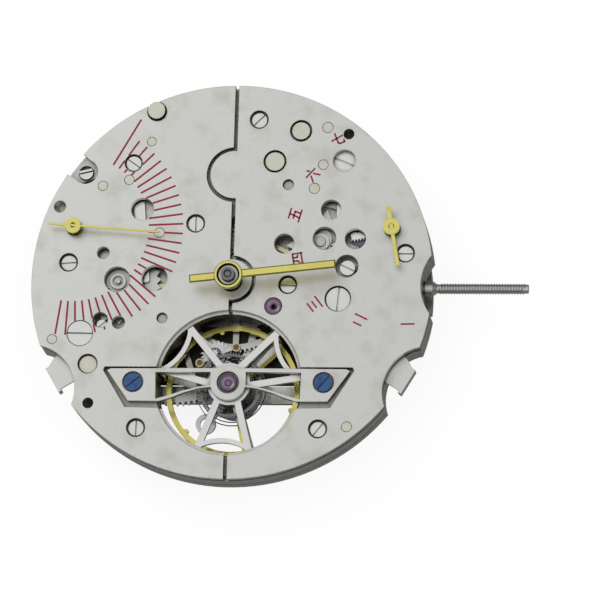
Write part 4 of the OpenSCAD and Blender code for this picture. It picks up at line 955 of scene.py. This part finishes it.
@dataclass
class ThreadedStem:
    """The winding stem: pilot, square, shoulders, groove and a cut thread."""

    height: float = -2.7
    pilot: tuple[Point, ...] = ((7.50, 0.0), (7.50, 0.22), (7.56, 0.28), (10.05, 0.28), (10.05, 0.0))
    square: tuple[float, float, float] = (2.40, 0.56, 0.56)
    square_middle: float = 11.20
    shoulders: tuple[Point, ...] = (
        (11.75, 0.0), (11.75, 0.42), (12.47, 0.42), (12.47, 0.50), (13.10, 0.50), (13.10, 0.27),
        (13.70, 0.27), (13.70, 0.50), (15.63, 0.50), (15.63, 0.60), (15.66, 0.625), (16.29, 0.625),
        (16.32, 0.60))
    run_in: float = 16.66
    thread_from: float = 16.75
    thread_to: float = 24.15
    end_gap: float = 0.02
    end_bevel: float = 0.05
    crest: float = 0.45
    root: float = 0.375
    sunk: float = 0.03
    pitch: float = 0.225
    flank: float = 0.42
    land: float = 0.08
    steps: int = 20

    def build(self, finisher: Finisher) -> None:
        """Turns the shaft and winds the thread round it.

        Args:
            finisher: what holds the materials.
        """
        stem = Workpiece("threaded_stem", "winding_stem")
        stem.shaft(self.pilot, self.height)
        stem.block(self.square, (self.square_middle, 0.0, self.height), 0.0)
        end = self.thread_to - self.end_gap
        stem.shaft([*self.shoulders, (self.run_in, self.root), (self.thread_to - self.end_bevel, self.root),
                    (end, self.root - self.end_bevel), (end, 0.0)], self.height)
        self.cut_thread(stem)
        stem.finish(finisher, BRUSHED, smooth=24.0, replaces=["winding_stem"])

    def cut_thread(self, stem: Workpiece) -> None:
        """Sweeps a ridge along a helix, closed at both ends.

        Args:
            stem: the piece that the ridge goes on.
        """
        turns = int((self.thread_to - self.thread_from - self.pitch) / self.pitch)
        low = self.root - self.sunk
        shares = (0.0, self.flank, self.flank + self.land, 2 * self.flank + self.land)
        verts = [stem.bm.verts.new((self.thread_from + self.pitch * share, 0.0, self.height + radius))
                 for share, radius in zip(shares, (low, self.crest, self.crest, low))]
        bmesh.ops.spin(stem.bm, geom=[stem.bm.faces.new(verts)], cent=(0.0, 0.0, self.height),
                       axis=(1.0, 0.0, 0.0), dvec=(self.pitch / self.steps, 0.0, 0.0),
                       angle=math.tau * turns, steps=turns * self.steps, use_merge=False)


@dataclass(frozen=True)
class Stone:
    """One pierced stone: its name, its place, its hole, its heights and the node it stands for."""

    name: str
    centre: Point
    hole: float
    low: float
    high: float
    replaces: tuple[str, ...] = ()


@dataclass
class Jewels:
    """The stones seen from the dial side, each with its oil cup and polished rim."""

    stones: tuple[Stone, ...] = (
        Stone("wing_jewel", CAGE_AXIS, 0.16, -0.26, -0.10, ("plate_jewels",)),
        Stone("plate_jewel", (3.51, -2.12), 0.20, -0.45, -0.05))
    outer: float = 0.71
    edge: float = 0.05
    cup_share: float = 0.66
    dish_share: float = 0.74
    mouth: float = 0.06
    mouth_drop: float = 0.10
    hole_drop: float = 0.12
    stone_steps: int = 56
    settings: tuple[tuple[float, float], ...] = ((3.27, 82.8), (3.20, 142.8))
    setting_profile: tuple[Point, ...] = ((0.24, -1.46), (0.37, -1.46), (0.37, -1.41), (0.34, -1.38),
                                          (0.27, -1.38), (0.24, -1.41))
    setting_steps: int = 32

    def build(self, finisher: Finisher) -> None:
        """Makes the two large stones and the gilt settings of the cage's small ones.

        Args:
            finisher: what holds the materials.
        """
        cup = self.outer * self.cup_share
        for stone in self.stones:
            piece = Workpiece(stone.name, "frame")
            hole, high = stone.hole, stone.high
            piece.lathe([(hole, stone.low), (self.outer, stone.low), (self.outer, high - self.edge),
                         (self.outer - self.edge, high), (cup, high),
                         (cup * self.dish_share, high - self.edge),
                         (hole + self.mouth, high - self.mouth_drop), (hole, high - self.hole_drop)],
                        stone.centre, self.stone_steps)
            piece.finish(finisher, RUBY, stone.centre, replaces=stone.replaces)
        rims = Workpiece("gilt_settings", "cage")
        for radius, angle in self.settings:
            rims.lathe(self.setting_profile, polar(radius, angle, CAGE_AXIS), self.setting_steps)
        rims.finish(finisher, GILT)


@dataclass
class DeepParts:
    """What shows in the depths: the plate behind the cage, near black as painted shade, and two arbors'
    ends.
    """

    backing_radius: float = 6.9
    backing_edge: float = 0.86
    backing_low: float = -5.25
    backing_high: float = -4.95
    backing_steps: int = 48
    arbors: tuple[tuple[str, Point], ...] = (("date_hand", (-13.10, 4.42)), ("day_hand", (13.10, 4.35)))
    arbor_radius: float = 0.18
    arbor_low: float = 0.852
    arbor_rim: float = 0.90
    arbor_tip: float = 0.93
    arbor_steps: int = 24

    def build(self, finisher: Finisher) -> None:
        """Makes the backing and the arbors' ends.

        Args:
            finisher: what holds the materials.
        """
        start = math.degrees(math.asin(self.backing_edge / self.backing_radius))
        sweep = 180 - 2 * start
        outline = [polar(self.backing_radius, start + sweep * step / self.backing_steps, CAGE_AXIS)
                   for step in range(self.backing_steps + 1)]
        backing = Workpiece("recess_backing", "frame")
        backing.prism(outline, self.backing_low, self.backing_high)
        backing.finish(finisher, SHADE_BLACK)
        for body, centre in self.arbors:
            end = Workpiece(f"{body}_arbor_end", body)
            end.lathe([(0.0, self.arbor_low), (self.arbor_radius, self.arbor_low),
                       (self.arbor_radius, self.arbor_rim), (0.0, self.arbor_tip)],
                      centre, self.arbor_steps)
            end.finish(finisher, DARK_STEEL, centre)


@dataclass
class Movement:
    """Finishes of the carried-over nodes, each with the axis of its tool marks."""

    centre: Point = (0.0, 0.0)
    barrel: Point = (3.40, 5.23)
    reduction: Point = (-1.60, 5.367)
    reverser: Point = (-3.303, 1.838)

    def finishes(self) -> dict[str, tuple[Finish, Point]]:
        """Gives the finish and axis of every node.

        Returns:
            The finish and axis under each node's name.
        """
        cage, centre = CAGE_AXIS, self.centre
        return {
            "main_plate": (BASE_NICKEL, cage), "date_plate": (SATIN_NICKEL, centre),
            "day_plate": (SATIN_NICKEL, centre), "wing_bridge": (SATIN_NICKEL, centre),
            "fixed_wheel": (DARK_STEEL, cage), "plate_screws": (POLISHED, centre),
            "blue_screws": (BLUED, centre), "plate_studs": (STUD_STEEL, centre),
            "plate_jewels": (RUBY, centre), "barrel_bridge": (BRIDGE_NICKEL, centre),
            "train_bridge": (BRIDGE_NICKEL, centre), "tourbillon_bridge": (BRIDGE_NICKEL, centre),
            "auto_bridge": (BRIDGE_NICKEL, centre), "bridge_screws": (POLISHED, centre),
            "rotor_screw": (POLISHED, centre), "cannon_pinion": (DARK_STEEL, centre),
            "centre_wheel": (BRUSHED, centre), "minute_wheel": (PALE_BRASS, (-1.3166, 2.5839)),
            "setting_idler": (PALE_BRASS, (4.65, -0.32)),
            "hour_wheel": (BRUSHED, centre), "hour_hand": (GILT, centre),
            "date_drive": (PALE_BRASS, (-4.5, 0.0)), "day_drive": (PALE_BRASS, (2.63, 3.65)),
            "date_star": (BRUSHED, (-9.42, 0.08)), "date_rack": (POLISHED, centre),
            "date_hand": (GILT, (-13.10, 4.42)), "day_star": (BRUSHED, (7.18, 3.44)),
            "day_rack": (POLISHED, centre), "day_hand": (GILT, (13.10, 4.35)),
            "date_jumper": (SPRING_STEEL, centre), "day_jumper": (SPRING_STEEL, centre),
            "date_corrector": (SATIN_NICKEL, (-12.32, -4.44)),
            "day_corrector": (SATIN_NICKEL, (8.78, -1.48)),
            "winding_stem": (BRUSHED, centre), "winding_pinion": (BRUSHED, centre),
            "sliding_pinion": (BRUSHED, centre), "setting_lever": (POLISHED, centre),
            "yoke": (POLISHED, centre), "setting_wheel": (PALE_BRASS, (8.893, -0.32)),
            "crown_wheel": (BRUSHED, (8.636, 0.0)), "ratchet_wheel": (BRUSHED, self.barrel),
            "barrel": (PALE_BRASS, self.barrel), "third_wheel": (BRUSHED, (-4.95, -2.576)),
            "cage_frame": (POLISHED, cage), "cage_cock": (BRUSHED, cage), "cage_base": (BRUSHED, cage),
            "cage_jewels": (RUBY, cage), "escape_wheel": (POLISHED, cage), "pallet_fork": (POLISHED, cage),
            "balance": (GILT_BALANCE, cage), "hairspring": (SPRING_STEEL, cage),
            "rotor": (BRIDGE_NICKEL, centre), "rotor_weight": (WEIGHT_METAL, centre),
            "reverser_wheel": (PALE_BRASS, self.reverser), "reverser_pinion": (BRUSHED, self.reverser),
            "reduction_wheel": (PALE_BRASS, self.reduction),
        }

    def dress(self, nodes: dict[str, bpy.types.Object], finisher: Finisher) -> None:
        """Dresses every carried-over node.

        Args:
            nodes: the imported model's nodes.
            finisher: what holds the materials.
        """
        for name, (finish, axis) in self.finishes().items():
            finisher.dress(nodes[name], finish, axis)
            LOG.info("%s: %s", name, finish.slot)


@dataclass(frozen=True)
class Lamp:
    """One round soft lamp, aimed at the origin: sizes in metres, power in watts."""

    name: str
    place: tuple[float, float, float]
    size: float
    power: float


@dataclass
class Studio:
    """The camera at the photograph's angle, soft lamps, a pale floor and a white surround."""

    azimuth: float = 26.3
    elevation: float = 75.0
    roll: float = -0.95
    px_per_mm: float = 12.26
    distance: float = 420.0
    frame_px: float = 590.0
    centre_px: Point = (231.2, 280.6)
    sensor: float = 36.0
    nearest: float = 0.01
    farthest: float = 20.0
    zenith: float = 0.95
    horizon_shade: float = 0.05
    shade_power: float = 1.5
    sky: float = 0.90
    diffuse_sky: float = 0.62
    lamps: tuple[Lamp, ...] = (Lamp("key", (-0.22, 0.20, 0.36), 0.22, 0.20),
                               Lamp("fill", (0.30, -0.10, 0.30), 0.26, 0.09))
    floor_gap: float = 0.02
    floor_radius: float = 1.6
    floor_sides: int = 96
    floor_bounce: float = 0.70
    floor_seen: float = 0.30
    floor_glow: float = 0.88
    floor_roughness: float = 0.9
    floor_specular: float = 0.1

    def build(self, low: float) -> None:
        """Sets up the camera, lamps, world and floor.

        Args:
            low: height of the model's lowest point, in metres.
        """
        self.place_camera()
        self.light_world()
        self.hang_lamps()
        self.lay_floor(low)
        bpy.context.scene.view_settings.view_transform = "Standard"

    def place_camera(self) -> None:
        """Stands the camera where the photograph was taken from, with the stem to the right."""
        azimuth, elevation = math.radians(self.azimuth), math.radians(self.elevation)
        back = Vector((math.sin(azimuth) * math.cos(elevation), -math.cos(azimuth) * math.cos(elevation),
                       math.sin(elevation)))
        side = Vector((math.cos(azimuth), math.sin(azimuth), 0.0))
        rise = back.cross(side)
        tilt_x = math.atan2(rise.x, side.x)
        tilt_y = math.atan2(rise.y, side.y) - math.pi / 2
        turn = math.radians(self.roll) - (tilt_x + tilt_y) / 2
        right = math.cos(turn) * side - math.sin(turn) * rise
        up = math.sin(turn) * side + math.cos(turn) * rise
        half = self.frame_px / 2
        target = (right * (half - self.centre_px[0]) - up * (half - self.centre_px[1])) / self.px_per_mm
        stand = (target + back * self.distance) * MM
        data = bpy.data.cameras.new("camera")
        data.sensor_fit = "HORIZONTAL"
        data.sensor_width = self.sensor
        data.lens = self.sensor * self.px_per_mm * self.distance / self.frame_px
        data.clip_start = self.nearest
        data.clip_end = self.farthest
        camera = bpy.data.objects.new("camera", data)
        axes = Matrix((right, up, back)).transposed().to_4x4()
        camera.matrix_world = Matrix.Translation(stand) @ axes
        bpy.context.scene.collection.objects.link(camera)
        bpy.context.scene.camera = camera

    def light_world(self) -> None:
        """Surrounds the model with pale light, shaded toward the horizon for the metal."""
        world = bpy.data.worlds.new("studio")
        world.use_nodes = True
        desk = NodeDesk(world.node_tree)
        path = desk.add("ShaderNodeLightPath").outputs
        rays = desk.add("ShaderNodeTexCoord").outputs["Generated"]
        lift = desk.add("ShaderNodeSeparateXYZ", Vector=rays).outputs["Z"]
        rising = desk.spread(lift, 0.0, self.zenith, self.horizon_shade, 1.0)
        shade = desk.math("MULTIPLY", desk.math("POWER", rising, self.shade_power), self.sky)
        grey = desk.add("ShaderNodeCombineColor", Red=shade, Green=shade, Blue=shade).outputs[0]
        seen = desk.math("MAXIMUM", path["Is Camera Ray"], path["Is Transmission Ray"])
        shown = desk.math("MAXIMUM", seen, path["Is Glossy Ray"])
        surround = desk.add("ShaderNodeBackground", Color=desk.mix(seen, grey, (1.0, 1.0, 1.0)),
                            Strength=desk.spread(shown, 0.0, 1.0, self.diffuse_sky, 1.0))
        desk.close(surround, "ShaderNodeOutputWorld")
        bpy.context.scene.world = world

    def hang_lamps(self) -> None:
        """Hangs the soft lamps above the bench."""
        for lamp in self.lamps:
            data = bpy.data.lights.new(lamp.name, "AREA")
            data.shape = "DISK"
            data.size = lamp.size
            data.energy = lamp.power
            hung = bpy.data.objects.new(lamp.name, data)
            hung.location = lamp.place
            hung.rotation_euler = (-Vector(lamp.place)).to_track_quat("-Z", "Y").to_euler()
            bpy.context.scene.collection.objects.link(hung)

    def lay_floor(self, low: float) -> None:
        """Lays a white floor just under the model.

        Args:
            low: height of the model's lowest point, in metres.
        """
        bm = bmesh.new()
        bmesh.ops.create_circle(bm, cap_ends=True, radius=self.floor_radius, segments=self.floor_sides)
        bmesh.ops.translate(bm, vec=(0.0, 0.0, low - self.floor_gap * MM), verts=bm.verts)
        mesh = bpy.data.meshes.new("floor")
        bm.to_mesh(mesh)
        bm.free()
        floor = bpy.data.objects.new("floor", mesh)
        bpy.context.scene.collection.objects.link(floor)
        material = bpy.data.materials.new("white_sheet")
        material.use_nodes = True
        desk = NodeDesk(material.node_tree)
        seen = desk.add("ShaderNodeLightPath").outputs["Is Camera Ray"]
        shades = [(grey,) * 3 for grey in (self.floor_bounce, self.floor_seen)]
        desk.close(desk.add("ShaderNodeBsdfPrincipled", Base_Color=desk.mix(seen, *shades),
                            Roughness=self.floor_roughness, Specular_IOR_Level=self.floor_specular,
                            Emission_Color=(1.0, 1.0, 1.0, 1.0),
                            Emission_Strength=desk.math("MULTIPLY", seen, self.floor_glow)))
        floor.data.materials.append(material)
        floor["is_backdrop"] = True


def corners(bounds: Sequence[Sequence[float]]) -> list[list[float]]:
    """Gives the two corners of a box as plain lists of numbers.

    Args:
        bounds: the lowest and the highest corner.

    Returns:
        The same two corners as lists.
    """
    return [[float(value) for value in corner] for corner in bounds]


def main() -> None:
    """Builds the movement's looks in order."""
    logging.basicConfig(level=logging.INFO, format="%(message)s")
    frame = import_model()
    cad_box = corners(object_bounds())
    finisher = Finisher()
    Studio().build(cad_box[0][2])
    Movement().dress(frame["nodes"], finisher)
    DialPrint().build(finisher)
    HourHand().build(finisher)
    ThreadedStem().build(finisher)
    Jewels().build(finisher)
    DeepParts().build(finisher)


if __name__ == "__main__":
    main()
